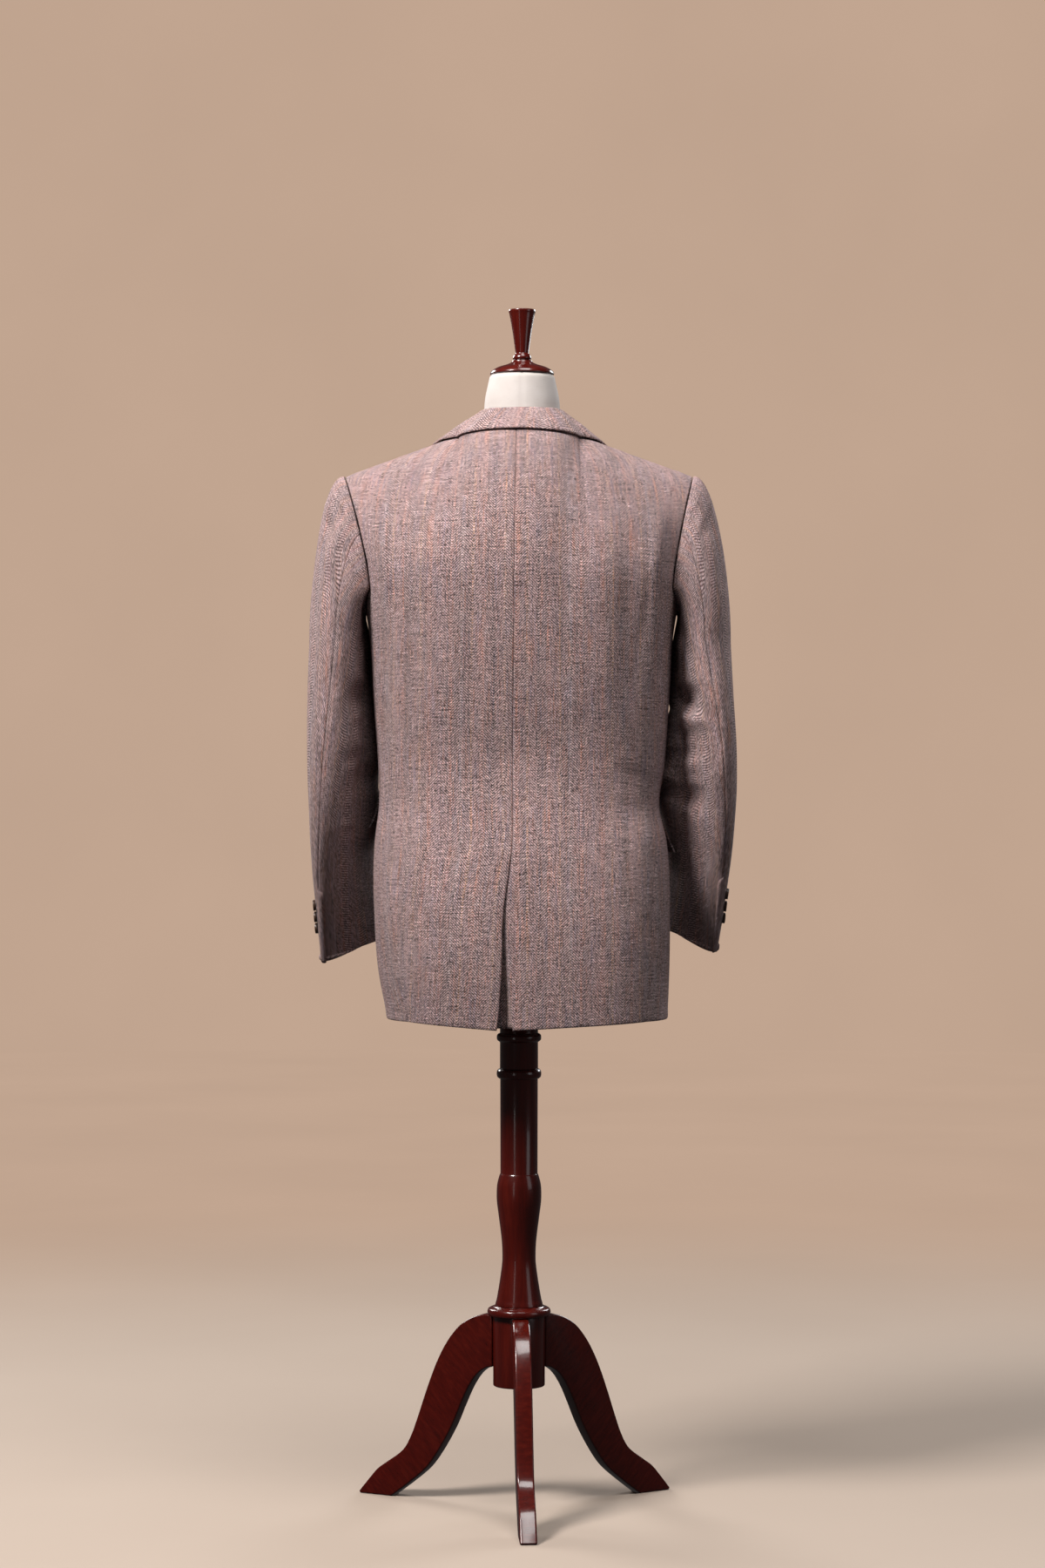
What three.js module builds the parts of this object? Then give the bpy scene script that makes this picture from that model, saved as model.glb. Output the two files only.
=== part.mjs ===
import * as THREE from "three";
import { mergeVertices } from "three/addons/utils/BufferGeometryUtils.js";

// A herringbone blazer on a limbless dress form with a turned column and three legs.
// Millimetres, +Z up. The fronts face -Y, the back faces +Y, and +X is the wearer's left.
// All heights and places are measured from the column's axis at floor level.

// Driving dimensions
const AXIS = { x: 3.5, y: -38 };
const CLOTH = 2;
const SEAM = 0.32;
const SCYE = 1178;
const UNDERARM_DROP = 32;
const SETTLED = 1.25;
const HEM = { back: 621.5, side: 630, front: 627 };
const SHOULDER = { x: 223, y: 0, z: 1325 };
const NECK = { halfWidth: 76, back: 62, front: 58, cbHeight: 1388, sideHeight: 1378, pitHeight: 1338 };
const NECK_ON_BACK = 0.46;
const NECK_ON_FRONT = 0.55;
const SECTION_POWER = 2.5;
const VENT_TOP = 859;
const CF_LAP = 1.3;
const LAP_FROM = { across: 0.8, wide: 0.13, row: 0.75, tall: 0.25 };
const DEG = Math.PI / 180;

// Body sections: half width, depth behind and before the axis, sideways sway, the centre
// back edges of both back panels, and the angles of the back and front side seams.
const SECTION_COLUMNS = ["z", "half", "back", "front", "sway", "edgeLeft", "edgeRight", "seamBack",
  "seamFront"];
const SECTIONS = [
  [621, 179, 135, 128, -11, 28, 8, 59, 116],
  [640, 181, 137, 130, -10, 26, 9, 59, 116],
  [695, 187, 141, 136, -6, 22, 12, 60, 116],
  [765, 190, 141, 140, -4, 20, 15, 62, 116],
  [812, 190, 136, 139, -3, 14, 12, 65, 115],
  [859, 187, 127, 134, -2, 8, 8, 71, 114],
  [902, 180, 117, 128, 0, 8, 8, 76, 113],
  [955, 184, 112, 129, -3, 8, 8, 79, 112],
  [1040, 190, 124, 138, -3, 7, 7, 77, 111],
  [1110, 194, 134, 146, -3, 6.5, 6.5, 75, 110],
  [1178, 203, 140, 150, -3, 6, 6, 72, 109],
  [1230, 206, 142, 150, -2, 5, 5, 71, 108],
];

// How each column leaves the underarm level and how it reaches the neck or shoulder
const RISE_COLUMNS = ["across", "upX", "upY", "upZ", "inX", "inY", "inZ"];
const BACK_RISE = [
  [0, 0, 40, 230, 0, -170, 90],
  [0.46, 0, 30, 240, 0, -190, 0],
  [0.75, 3, 30, 200, 0, -170, 0],
  [1, 8, 42, 150, 0, -130, 0],
];
const FRONT_RISE = [
  [0, -2, -45, 140, 0, 135, 0],
  [0.3, 0, -25, 190, 0, 170, 0],
  [0.55, 0, -10, 230, 0, 190, 0],
  [1, 0, 0, 160, 0, 120, 110],
];

// Front edge: how far across the front it lies at each row, 1 being the centre front
const EDGE_COLUMNS = ["row", "across"];
const FRONT_EDGE = [
  [0, 0.7],
  [0.009, 0.8],
  [0.028, 0.87],
  [0.06, 0.925],
  [0.12, 0.975],
  [0.21, 1.03],
  [0.31, 1.075],
  [0.41, 1.084],
  [0.585, 1.084],
  [0.68, 1.03],
  [0.79, 0.975],
  [0.9, 0.93],
  [1, 0.89],
  [1.25, 0.83],
  [1.5, 0.765],
  [1.75, 0.68],
  [2, NECK_ON_FRONT],
];
const BODY_ROWS = [0, 0.014, 0.036, 0.07, 0.12, 0.19, 0.26, 0.34, 0.385, 0.43, 0.47, 0.51, 0.55, 0.6,
  0.68, 0.79, 0.9, 1];
const YOKE_ROWS = [1.14, 1.28, 1.4, 1.5, 1.6, 1.7, 1.8, 1.9, 2];

// Soft folds in the cloth: across, row, half width, half height and depth, outward when positive
const BACK_FOLDS = {
  1: [
    [0.86, 1.25, 0.07, 0.5, 5],
    [0.7, 1.15, 0.09, 0.55, -3.5],
    [0.3, 1.2, 0.12, 0.6, -3],
    [0.5, 0.42, 0.2, 0.2, -3],
  ],
  [-1]: [
    [0.86, 1.15, 0.07, 0.5, 5],
    [0.7, 1.05, 0.1, 0.5, -4],
    [0.34, 1.1, 0.14, 0.5, -2.5],
    [0.75, 0.5, 0.2, 0.12, -3],
  ],
};
const FRONT_FOLDS = {
  1: [
    [0.12, 1.15, 0.08, 0.4, 4],
    [0.3, 1.05, 0.12, 0.4, -3],
  ],
  [-1]: [
    [0.13, 1.12, 0.08, 0.4, 3.6],
    [0.31, 1.02, 0.12, 0.4, -3.3],
  ],
};

// Sleeve rings: centre, half thickness, half width and turn of the flat section
const RING_COLUMNS = ["z", "x", "y", "thin", "wide", "turn"];
const RINGS = {
  1: [
    [1112, 232.5, -2, 36.5, 77, 0],
    [1040, 234.6, 2, 36, 74, 4],
    [970, 235.5, 1, 33.5, 71, 10.5],
    [900, 234.3, -12, 29, 69, 16.5],
    [830, 229.5, -38, 25, 67, 25],
    [770, 220, -63, 22, 66, 35],
    [722, 211, -83, 19, 66, 42],
  ],
  [-1]: [
    [1112, 236, -2, 36, 77, 0],
    [1040, 240, 2, 34.5, 74, 6],
    [970, 242.1, 1, 32.5, 71, 14],
    [900, 239, -13, 31, 69, 21],
    [830, 232.8, -40, 26, 67, 26],
    [780, 223.5, -62, 22.5, 66, 34],
    [738, 213.5, -82, 19, 66, 41],
  ],
};
const HIND_ON_ARMHOLE = 0.62;
const FORE_ON_ARMHOLE = 2.15;
const SHOULDER_ON_TOP = 0.41;
const TOP_ANGLES = [90, -100];
const UNDER_ANGLES = [90, 260];
const UNDER_STEPS = [[0, HIND_ON_ARMHOLE], [0.29, 1], [0.88, 2], [1, FORE_ON_ARMHOLE]];
const CAP = { out: 58, outTop: 37, along: 45, up: 14, upTop: 6, drop: 54, hang: 125, hangTop: 70 };
const CAP_FOLDS_FROM = 0.25;
const CAP_STEPS = [0, 0.12, 0.28, 0.46, 0.64, 0.82, 1];
const ARM_STEPS = 11;

// Sleeve folds: angle round the sleeve in degrees, height, half width, half height and depth
const SLEEVE_FOLDS = {
  1: [
    [50, 1262, 26, 34, -7],
    [66, 1235, 18, 46, 4],
    [150, 1040, 40, 26, -6],
    [150, 985, 40, 26, 4],
    [200, 940, 50, 24, -5],
    [228, 970, 58, 180, 27],
    [232, 1088, 50, 55, 7],
  ],
  [-1]: [
    [52, 1262, 26, 34, -4],
    [150, 1043, 46, 18, -9],
    [150, 1010, 46, 16, 5],
    [160, 915, 46, 20, -7],
    [160, 955, 46, 18, 5],
    [200, 960, 50, 24, -5],
    [228, 952, 58, 140, 29],
    [232, 1080, 50, 60, 9],
  ],
};

// Lapels: width across the front at each row
const LAPEL_COLUMNS = ["row", "width"];
const LAPEL_WIDTH = [
  [0.585, 0.01],
  [0.65, 0.09],
  [0.75, 0.17],
  [0.88, 0.25],
  [1, 0.31],
  [1.25, 0.38],
  [1.45, 0.42],
  [1.69, 0.42],
];
const LAPEL = { start: { 1: 0.6, [-1]: 0.69 }, top: 1.668, slant: 0.14, slantFrom: 0.5 };
const LAPEL_ROLL = { past: 0.012, clear: 0.03, wide: 0.07, lift: 2.2 };

// Collar fold from the centre back to the front end, and where the leaf's edge lies above the
// back up to the shoulder line, then above the front
const FOLD_COLUMNS_OF_COLLAR = ["along", "x", "y", "z"];
const COLLAR_FOLD = [
  [0, 2, 49, 1409],
  [0.25, 38, 36, 1409],
  [0.4, 50, 17, 1408.5],
  [0.5, 54, 0, 1407],
  [0.62, 57, -24, 1399],
  [0.75, 61.5, -46, 1381],
  [0.88, 64, -66, 1361],
  [1, 64, -81, 1342],
];
const LEAF_COLUMNS = ["along", "across", "row", "lift"];
const LEAF_ON_BACK = [
  [0, 0, 1.905, 3.6],
  [0.17, 0.17, 1.88, 3.4],
  [0.3, 0.34, 1.86, 3.2],
  [0.42, 0.5, 1.89, 2.9],
  [0.5, 0.56, 2, 2.6],
];
const LEAF_ON_FRONT = [
  [0.5, 0.45, 2, 2.6],
  [0.62, 0.4, 1.88, 2.8],
  [0.75, 0.365, 1.78, 2.8],
  [0.88, 0.37, 1.68, 2.8],
  [1, 0.4, 1.6, 2.8],
];
const COLLAR_END_ROW = 1.7;
const COLLAR_WALL = 2.2;
const COLLAR_LEAN = -4;
const COLLAR_OFF_NECK = { back: 1.9, front: 1.5, past: 0.008 };
const COLLAR_ROUND = { most: 3, share: 0.25, inner: 0.8, crown: 0.7 };
const COLLAR_STEPS = 9;

// Form: how far it lies inside the cloth's outer surface at each row
const FORM_COLUMNS = ["row", "inset"];
const FORM_INSET = [
  [0.09, 24],
  [0.18, 17],
  [0.3, 16],
  [0.5, 24],
  [0.7, 16],
  [0.9, 9],
  [1, 8],
  [1.3, 8],
  [1.6, 6.5],
  [1.85, 4.4],
  [2, 3.4],
];
const SHOULDER_SEAT = 2.8;
const FORM_BOTTOM = { row: 0.09, z: 674 };
const NECK_RINGS = [
  { z: 1391, x: 53, y: 47 },
  { z: 1404, x: 49, y: 43.5 },
  { z: 1425, x: 46.5, y: 43 },
  { z: 1455.4, x: 41, y: 41 },
];
const NECK_LEAN = -4;

// Turned wood: radius and height of each profile from the axis out and back to it
const FINIAL = [[0, 1474.3], [10.9, 1474.3], [12, 1477], [10.9, 1480.5], [8.75, 1483], [9.6, 1492],
  [12.4, 1512], [15.8, 1531], [17.4, 1538], [16.6, 1540], [0, 1540]];
const NECK_CAP = [[0, 1455.9], [40, 1455.9], [41, 1457.5], [39.5, 1461], [31, 1466], [20, 1470], [13, 1474],
  [0, 1474]];
const COLUMN_TOP = [[0, 564.3], [24.5, 564.3], [24.5, 600], [28, 602], [28.5, 605.5], [28, 608.6],
  [24.5, 610], [24.5, 673.5], [0, 673.5]];
const COLUMN_TURNED = [[0, 260.3], [31, 260.3], [28.75, 269], [25, 290], [22, 312], [21.4, 325], [22.4, 345],
  [26, 374], [28.3, 392], [28.75, 404], [28, 416], [25, 426], [23.6, 430], [24.2, 551], [28, 554],
  [28.6, 559], [28, 564], [0, 564]];
const BASE_MOULDING = [[0, 247.3], [37, 247.3], [40.5, 250.5], [40.5, 255], [37, 258], [32, 260], [0, 260]];
const HUB = [[0, 157], [31.5, 157], [33.25, 159], [33.25, 247], [0, 247]];
const TURNED_SIDES = 20;

// Leg board: outer edge from the hub to the toe, then the inner edge back to the hub
const LEG_THICK = 21.5;
const LEG_TURN = 3;
const LEG_OUTER = [[33.6, 247], [46, 246.6], [63, 241.5], [81.5, 230], [100, 208], [115.7, 179.5],
  [129.7, 145], [142, 110.7], [153, 82.4], [165.4, 62], [187, 46], [202.5, 35], [216.6, 19.5],
  [230.5, 3], [230, 0]];
const LEG_INNER = [[182.5, 0], [156, 19.6], [131, 40.6], [112.6, 65], [94, 96.6], [80, 127.4], [69, 150],
  [56.7, 167.7], [44, 177], [33.6, 179.5]];

// Buttons and pocket flaps
const FRONT_BUTTON = { radius: 10.5, thick: 4, seat: 0.62, heights: [930, 830] };
const CUFF_BUTTON = { radius: 7, thick: 3.4, seat: -0.4, count: 3, first: 44, pitch: 15.5, angle: 62 };
const BUTTON_SIDES = 16;
const FLAP = {
  1: { top: 921, bottom: 872, from: 98, to: 139 },
  [-1]: { top: 889, bottom: 840, from: 98, to: 139 },
};
const FLAP_LIFT = { rear: 9, fore: 2 };
const UNDERLAP = { width: 46, deepTop: 4, deepHem: 13, near: 0.08, fold: 5, below: 4, above: 2 };

const COLOURS = {
  tweed: { color: 0x8d7571, roughness: 0.95, metalness: 0 },
  form: { color: 0xe9ddd4, roughness: 0.9, metalness: 0 },
  wood: { color: 0x4a120c, roughness: 0.25, metalness: 0 },
  button: { color: 0x2e211d, roughness: 0.4, metalness: 0 },
};

// Table reading: a smooth curve through the rows, read by column name
function read(table, columns, key, name, value) {
  const k = columns.indexOf(key);
  const c = columns.indexOf(name);
  const rows = table[0][k] <= table[table.length - 1][k] ? table : [...table].reverse();
  const last = rows.length - 1;
  if (value <= rows[0][k]) return rows[0][c];
  if (value >= rows[last][k]) return rows[last][c];
  const i = rows.findIndex((row, n) => n < last && value <= rows[n + 1][k]);
  const slope = (n) => {
    const a = Math.max(n - 1, 0);
    const b = Math.min(n + 1, last);
    return (rows[b][c] - rows[a][c]) / (rows[b][k] - rows[a][k]);
  };
  const step = rows[i + 1][k] - rows[i][k];
  const t = (value - rows[i][k]) / step;
  return blend(rows[i][c], slope(i) * step, rows[i + 1][c], slope(i + 1) * step, t);
}

function blend(start, leave, end, arrive, t) {
  const t2 = t * t;
  const t3 = t2 * t;
  const far = 3 * t2 - 2 * t3;
  return start * (1 - far) + leave * (t3 - 2 * t2 + t) + end * far + arrive * (t3 - t2);
}

function mix(a, b, t) {
  return a + (b - a) * t;
}

function bump(value, centre, half) {
  const t = Math.abs(value - centre) / half;
  return t < 1 ? (1 - t * t) ** 2 : 0;
}

// The sum of a table's folds at a place
function folds(table, a, b) {
  const depthOf = ([atA, atB, wide, tall, depth]) => depth * bump(a, atA, wide) * bump(b, atB, tall);
  return table.reduce((sum, fold) => sum + depthOf(fold), 0);
}

// The body: sections below the underarm, then a curve from each column up to the neck or shoulder
function section(name, z) {
  return read(SECTIONS, SECTION_COLUMNS, "z", name, z);
}

function tube(angle, z) {
  const turn = angle * DEG;
  const depth = Math.cos(turn) > 0 ? section("back", z) : section("front", z);
  const wide = Math.abs(Math.sin(turn) / section("half", z)) ** SECTION_POWER;
  const deep = Math.abs(Math.cos(turn) / depth) ** SECTION_POWER;
  const radius = (wide + deep) ** (-1 / SECTION_POWER);
  return new THREE.Vector3(section("sway", z) + radius * Math.sin(turn), radius * Math.cos(turn), z);
}

function edgeAngle(side, z) {
  const x = section(side > 0 ? "edgeLeft" : "edgeRight", z) - section("sway", z);
  return Math.atan2(x, section("back", z)) / DEG;
}

function curve(start, leave, end, arrive, t) {
  return new THREE.Vector3(
    blend(start.x, leave.x, end.x, arrive.x, t),
    blend(start.y, leave.y, end.y, arrive.y, t),
    blend(start.z, leave.z, end.z, arrive.z, t),
  );
}

function rise(table, side, across, name) {
  const value = (axis) => read(table, RISE_COLUMNS, "across", name + axis, across);
  return new THREE.Vector3(side * value("X"), value("Y"), value("Z"));
}

function shoulderLine(side, t) {
  return new THREE.Vector3(
    side * mix(NECK.halfWidth, SHOULDER.x, t),
    SHOULDER.y,
    mix(NECK.sideHeight, SHOULDER.z, t),
  );
}

function backTop(side, across) {
  if (across > NECK_ON_BACK) return shoulderLine(side, (across - NECK_ON_BACK) / (1 - NECK_ON_BACK));
  const turn = (across / NECK_ON_BACK) * 90 * DEG;
  return new THREE.Vector3(
    3 * Math.cos(turn) + side * NECK.halfWidth * Math.sin(turn),
    NECK.back * Math.cos(turn),
    mix(NECK.sideHeight, NECK.cbHeight, Math.cos(turn)),
  );
}

function frontTop(side, across) {
  if (across < NECK_ON_FRONT) return shoulderLine(side, 1 - across / NECK_ON_FRONT);
  const turn = ((across - NECK_ON_FRONT) / (1 - NECK_ON_FRONT)) * 90 * DEG;
  return new THREE.Vector3(
    side * NECK.halfWidth * Math.cos(turn),
    -NECK.front * Math.sin(turn),
    mix(NECK.sideHeight, NECK.pitHeight, Math.sin(turn) ** 2),
  );
}

function backPlain(side, across, row, start = edgeAngle) {
  const low = Math.min(row, 1);
  const z = mix(mix(HEM.back, HEM.side, across), SCYE, low);
  const point = tube(mix(start(side, z), side * section("seamBack", z), across), z);
  if (row <= 1) return point;
  const leave = rise(BACK_RISE, side, across, "up");
  const arrive = rise(BACK_RISE, side, across, "in");
  return curve(point, leave, backTop(side, across), arrive, row - 1);
}

function back(side, across, row) {
  const point = backPlain(side, across, row);
  point.y += folds(BACK_FOLDS[side], across, row);
  return point;
}

function sidePanel(side, across, row) {
  const top = SCYE - UNDERARM_DROP * Math.max(0, Math.sin(across * Math.PI));
  const z = mix(HEM.side, top, row);
  return tube(side * mix(section("seamBack", z), section("seamFront", z), across), z);
}

function frontPlain(side, across, row) {
  const low = Math.min(row, 1);
  const z = mix(mix(HEM.side, HEM.front, Math.min(across, 1)), SCYE, low);
  const seam = section("seamFront", z);
  const point = tube(side * mix(seam, 180, across), z);
  if (row <= 1) return point;
  const leave = rise(FRONT_RISE, side, across, "up");
  const arrive = rise(FRONT_RISE, side, across, "in");
  return curve(point, leave, frontTop(side, across), arrive, row - 1);
}

function front(side, across, row) {
  const point = frontPlain(side, across, row);
  point.y -= folds(FRONT_FOLDS[side], across, row);
  return point;
}

function frontEdge(row) {
  return read(FRONT_EDGE, EDGE_COLUMNS, "row", "across", row);
}

// The surface normal from small steps along both directions of a surface
function normalOf(surface, a, b, sign) {
  const step = 0.004;
  const alongA = surface(a + step, b).sub(surface(a - step, b));
  const alongB = surface(a, b + step).sub(surface(a, b - step));
  return alongA.cross(alongB).normalize().multiplyScalar(sign);
}

// A cloth wall: a grid of places on a surface, its outer and inner points, and its rim
function wall(surface, sign, grid, outer, inner, trim = SEAM / 2) {
  const rows = grid.length;
  const cols = grid[0].length;
  const place = grid.map((line) => line.map(([a, b]) => surface(a, b)));
  const normal = grid.map((line) => line.map(([a, b]) => normalOf(surface, a, b, sign)));
  const moved = place.map((line, r) => line.map((point, c) => {
    const result = point.clone();
    const pull = (other) => result.add(other.clone().sub(point).normalize().multiplyScalar(trim));
    if (r === 0) pull(place[1][c]);
    if (r === rows - 1) pull(place[rows - 2][c]);
    if (c === 0) pull(place[r][1]);
    if (c === cols - 1) pull(place[r][cols - 2]);
    return result;
  }));
  const depth = (value, r, c) => (typeof value === "function" ? value(...grid[r][c]) : value);
  const skin = (value) => moved.map((line, r) => line.map((point, c) =>
    point.clone().addScaledVector(normal[r][c], depth(value, r, c))));
  return shell(skin(outer), skin(inner));
}

// A closed shell between two grids of points
function shell(outer, inner) {
  const rows = outer.length;
  const cols = outer[0].length;
  const faces = [];
  const quad = (a, b, c, d) => faces.push([a, b, c], [a, c, d]);
  for (let r = 0; r < rows - 1; r += 1) {
    for (let c = 0; c < cols - 1; c += 1) {
      quad(outer[r][c], outer[r][c + 1], outer[r + 1][c + 1], outer[r + 1][c]);
      quad(inner[r][c], inner[r + 1][c], inner[r + 1][c + 1], inner[r][c + 1]);
    }
  }
  for (let c = 0; c < cols - 1; c += 1) {
    quad(outer[0][c + 1], outer[0][c], inner[0][c], inner[0][c + 1]);
    quad(outer[rows - 1][c], outer[rows - 1][c + 1], inner[rows - 1][c + 1], inner[rows - 1][c]);
  }
  for (let r = 0; r < rows - 1; r += 1) {
    quad(outer[r][0], outer[r + 1][0], inner[r + 1][0], inner[r][0]);
    quad(outer[r + 1][cols - 1], outer[r][cols - 1], inner[r][cols - 1], inner[r + 1][cols - 1]);
  }
  return solid(faces);
}

// Triangles to a closed geometry that faces out; collapsed ones are dropped
function solid(faces) {
  const volume = faces.reduce((sum, [a, b, c]) => sum + a.dot(b.clone().cross(c)), 0);
  const whole = faces.filter(([a, b, c]) => !a.equals(b) && !b.equals(c) && !c.equals(a));
  const points = whole.flatMap(([a, b, c]) => (volume > 0 ? [a, b, c] : [a, c, b]));
  const geometry = new THREE.BufferGeometry().setFromPoints(points);
  return mergeVertices(geometry, 1e-4);
}

function spread(from, to, count) {
  return Array.from({ length: count + 1 }, (_, i) => mix(from, to, i / count));
}

function gridOf(rows, cols, place) {
  return rows.map((row) => cols.map((col) => place(col, row)));
}

const object = new THREE.Group();
object.position.set(AXIS.x, AXIS.y, 0);

function add(name, geometry, finish) {
  const mesh = new THREE.Mesh(geometry, new THREE.MeshStandardMaterial(COLOURS[finish]));
  mesh.name = name;
  object.add(mesh);
  return mesh;
}

const NAME = { 1: "left", [-1]: "right" };

// Back, side and front panels
function backPanel(side) {
  const grid = gridOf([...BODY_ROWS, ...YOKE_ROWS], spread(0, 1, 10), (across, row) => [across, row]);
  const surface = (across, row) => back(side, across, row);
  add(`back_${NAME[side]}`, wall(surface, -side, grid, 0, -CLOTH), "tweed");
}

function sideBody(side) {
  const grid = gridOf(BODY_ROWS, spread(0, 1, 5), (across, row) => [across, row]);
  add(`side_${NAME[side]}`, wall((a, row) => sidePanel(side, a, row), -side, grid, 0, -CLOTH), "tweed");
}

// The left front laps over the right one, so one moves out and the other in near the edge
function lap(side, across, row) {
  const near = THREE.MathUtils.clamp((across - LAP_FROM.across) / LAP_FROM.wide, 0, 1);
  const below = THREE.MathUtils.clamp((LAP_FROM.row + LAP_FROM.tall - row) / LAP_FROM.tall, 0, 1);
  return side * CF_LAP * near * near * (3 - 2 * near) * below;
}

function frontPanel(side) {
  const grid = gridOf([...BODY_ROWS, ...YOKE_ROWS], spread(0, 1, 11), (t, row) => [t * frontEdge(row), row]);
  const outer = (across, row) => lap(side, across, row);
  const inner = (across, row) => lap(side, across, row) - CLOTH;
  const surface = (across, row) => front(side, across, row);
  add(`front_${NAME[side]}`, wall(surface, -side, grid, outer, inner), "tweed");
}

// The right back panel's extension under the left one at the vent
function ventUnderlap() {
  const surface = (x, z) => {
    const down = (VENT_TOP - z) / (VENT_TOP - HEM.back);
    const start = section("edgeRight", z) - 1;
    const place = start + x * UNDERLAP.width;
    const angle = Math.atan2(place - section("sway", z), section("back", z)) / DEG;
    const turnedIn = Math.min(1, UNDERLAP.near + x * UNDERLAP.fold);
    const deep = mix(UNDERLAP.deepTop, UNDERLAP.deepHem, down) * turnedIn;
    const point = tube(angle, z);
    point.y -= deep + CLOTH;
    return point;
  };
  const rows = spread(HEM.back + UNDERLAP.above, VENT_TOP - UNDERLAP.below, 7);
  const grid = gridOf(rows, [0, 0.1, 0.22, 0.5, 1], (x, z) => [x, z]);
  add("vent_underlap", wall(surface, -1, grid, 0, -CLOTH), "tweed");
}

// Lapels lie on the fronts from the roll line outward; the right one ends under the left edge
function lapel(side) {
  const rows = spread(LAPEL.start[side], LAPEL.top, 11);
  const grid = gridOf(rows, spread(0, 1, 6), (t, row) => {
    const width = read(LAPEL_WIDTH, LAPEL_COLUMNS, "row", "width", row);
    const edge = frontEdge(row);
    const past = edge + LAPEL_ROLL.past;
    const inner = side > 0 ? past : Math.min(past, 2 - edge - LAPEL_ROLL.clear);
    const slant = LAPEL.slant * t * bump(row, LAPEL.top, LAPEL.slantFrom);
    return [mix(inner, edge - width, t), row - slant];
  });
  const lift = (across, row) => {
    const roll = bump(across, frontEdge(row), LAPEL_ROLL.wide);
    return Math.max(0, lap(side, across, row)) + SETTLED + LAPEL_ROLL.lift * roll;
  };
  const outer = (across, row) => lift(across, row) + CLOTH;
  const surface = (across, row) => front(side, across, row);
  add(`lapel_${NAME[side]}`, wall(surface, -side, grid, outer, lift), "tweed");
}

// Collar: a stand up from the neck seam, a fold, and a leaf down over the seam
function collarFoot(side, along) {
  if (along < 0.5) {
    const point = backTop(side, NECK_ON_BACK * along * 2);
    return point.add(new THREE.Vector3(0, 0, COLLAR_OFF_NECK.back));
  }
  const row = mix(2, COLLAR_END_ROW, (along - 0.5) * 2);
  const across = frontEdge(row) + COLLAR_OFF_NECK.past * (along - 0.5) * 2;
  const surface = (a, r) => front(side, a, r);
  return surface(across, row).addScaledVector(normalOf(surface, across, row, -side), COLLAR_OFF_NECK.front);
}

function leafEdge(side, along) {
  const table = along < 0.5 ? LEAF_ON_BACK : LEAF_ON_FRONT;
  const value = (name) => read(table, LEAF_COLUMNS, "along", name, along);
  const surface = (across, row) => (along < 0.5 ? back : front)(side, across, row);
  const across = value("across");
  const row = value("row");
  return surface(across, row).addScaledVector(normalOf(surface, across, row, -side), value("lift"));
}

function collarProfile(side, along) {
  const value = (axis) => read(COLLAR_FOLD, FOLD_COLUMNS_OF_COLLAR, "along", axis, along);
  const foot = collarFoot(side, along);
  const lean = COLLAR_LEAN * Math.min(1, 2 - 2 * along);
  const fold = new THREE.Vector3(side * value("x") + lean, value("y"), value("z"));
  const edge = leafEdge(side, along);
  const up = new THREE.Vector3(0, 0, 1);
  const out = edge.clone().sub(foot).setZ(0).normalize();
  const round = Math.min(COLLAR_ROUND.most, fold.distanceTo(foot) * COLLAR_ROUND.share);
  const inside = fold.clone().addScaledVector(out, -round * COLLAR_ROUND.inner).addScaledVector(up, -round);
  const outside = fold.clone().addScaledVector(out, round).addScaledVector(up, -round * COLLAR_ROUND.inner);
  const crown = outside.clone().lerp(edge, 0.5).addScaledVector(up, round * COLLAR_ROUND.crown);
  return [foot, foot.clone().lerp(inside, 0.5), inside, fold, outside, crown, edge];
}

function collar() {
  const right = spread(1, 1 / COLLAR_STEPS, COLLAR_STEPS - 1).map((along) => collarProfile(-1, along));
  const left = spread(0, 1, COLLAR_STEPS).map((along) => collarProfile(1, along));
  const centre = [...right, ...left];
  const last = { r: centre.length - 1, c: centre[0].length - 1 };
  const normal = centre.map((line, r) => line.map((_, c) => {
    const alongNeck = centre[Math.min(r + 1, last.r)][c].clone().sub(centre[Math.max(r - 1, 0)][c]);
    const overFold = line[Math.min(c + 1, last.c)].clone().sub(line[Math.max(c - 1, 0)]);
    return alongNeck.cross(overFold).normalize();
  }));
  const skin = (depth) => centre.map((line, r) => line.map((point, c) =>
    point.clone().addScaledVector(normal[r][c], depth)));
  add("collar", shell(skin(COLLAR_WALL / 2), skin(-COLLAR_WALL / 2)), "tweed");
}

// Pocket flaps hang from the hip seams and stand off at their lower back corners
function pocketFlap(side) {
  const flap = FLAP[side];
  const angles = [0, 0.12, 0.3, 0.5, 0.7, 0.88, 1].map((t) => mix(flap.from, flap.to, t));
  const grid = gridOf(spread(flap.bottom, flap.top, 4), angles, (angle, z) => [angle, z]);
  const inner = (angle, z) => {
    const down = (flap.top - z) / (flap.top - flap.bottom);
    const rear = (flap.to - angle) / (flap.to - flap.from);
    return SETTLED + mix(FLAP_LIFT.fore, FLAP_LIFT.rear, rear) * down * down;
  };
  const outer = (angle, z) => inner(angle, z) + CLOTH;
  const surface = (angle, z) => tube(side * angle, z);
  add(`pocket_flap_${NAME[side]}`, wall(surface, -side, grid, outer, inner), "tweed");
}

// A button: a disc on a surface point, its axis along the surface normal
function button(name, size, point, normal) {
  const disc = new THREE.CylinderGeometry(size.radius, size.radius, size.thick, BUTTON_SIDES);
  const mesh = add(name, disc, "button");
  mesh.position.copy(point).addScaledVector(normal, size.seat + size.thick / 2);
  mesh.quaternion.setFromUnitVectors(new THREE.Vector3(0, 1, 0), normal);
}

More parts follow.
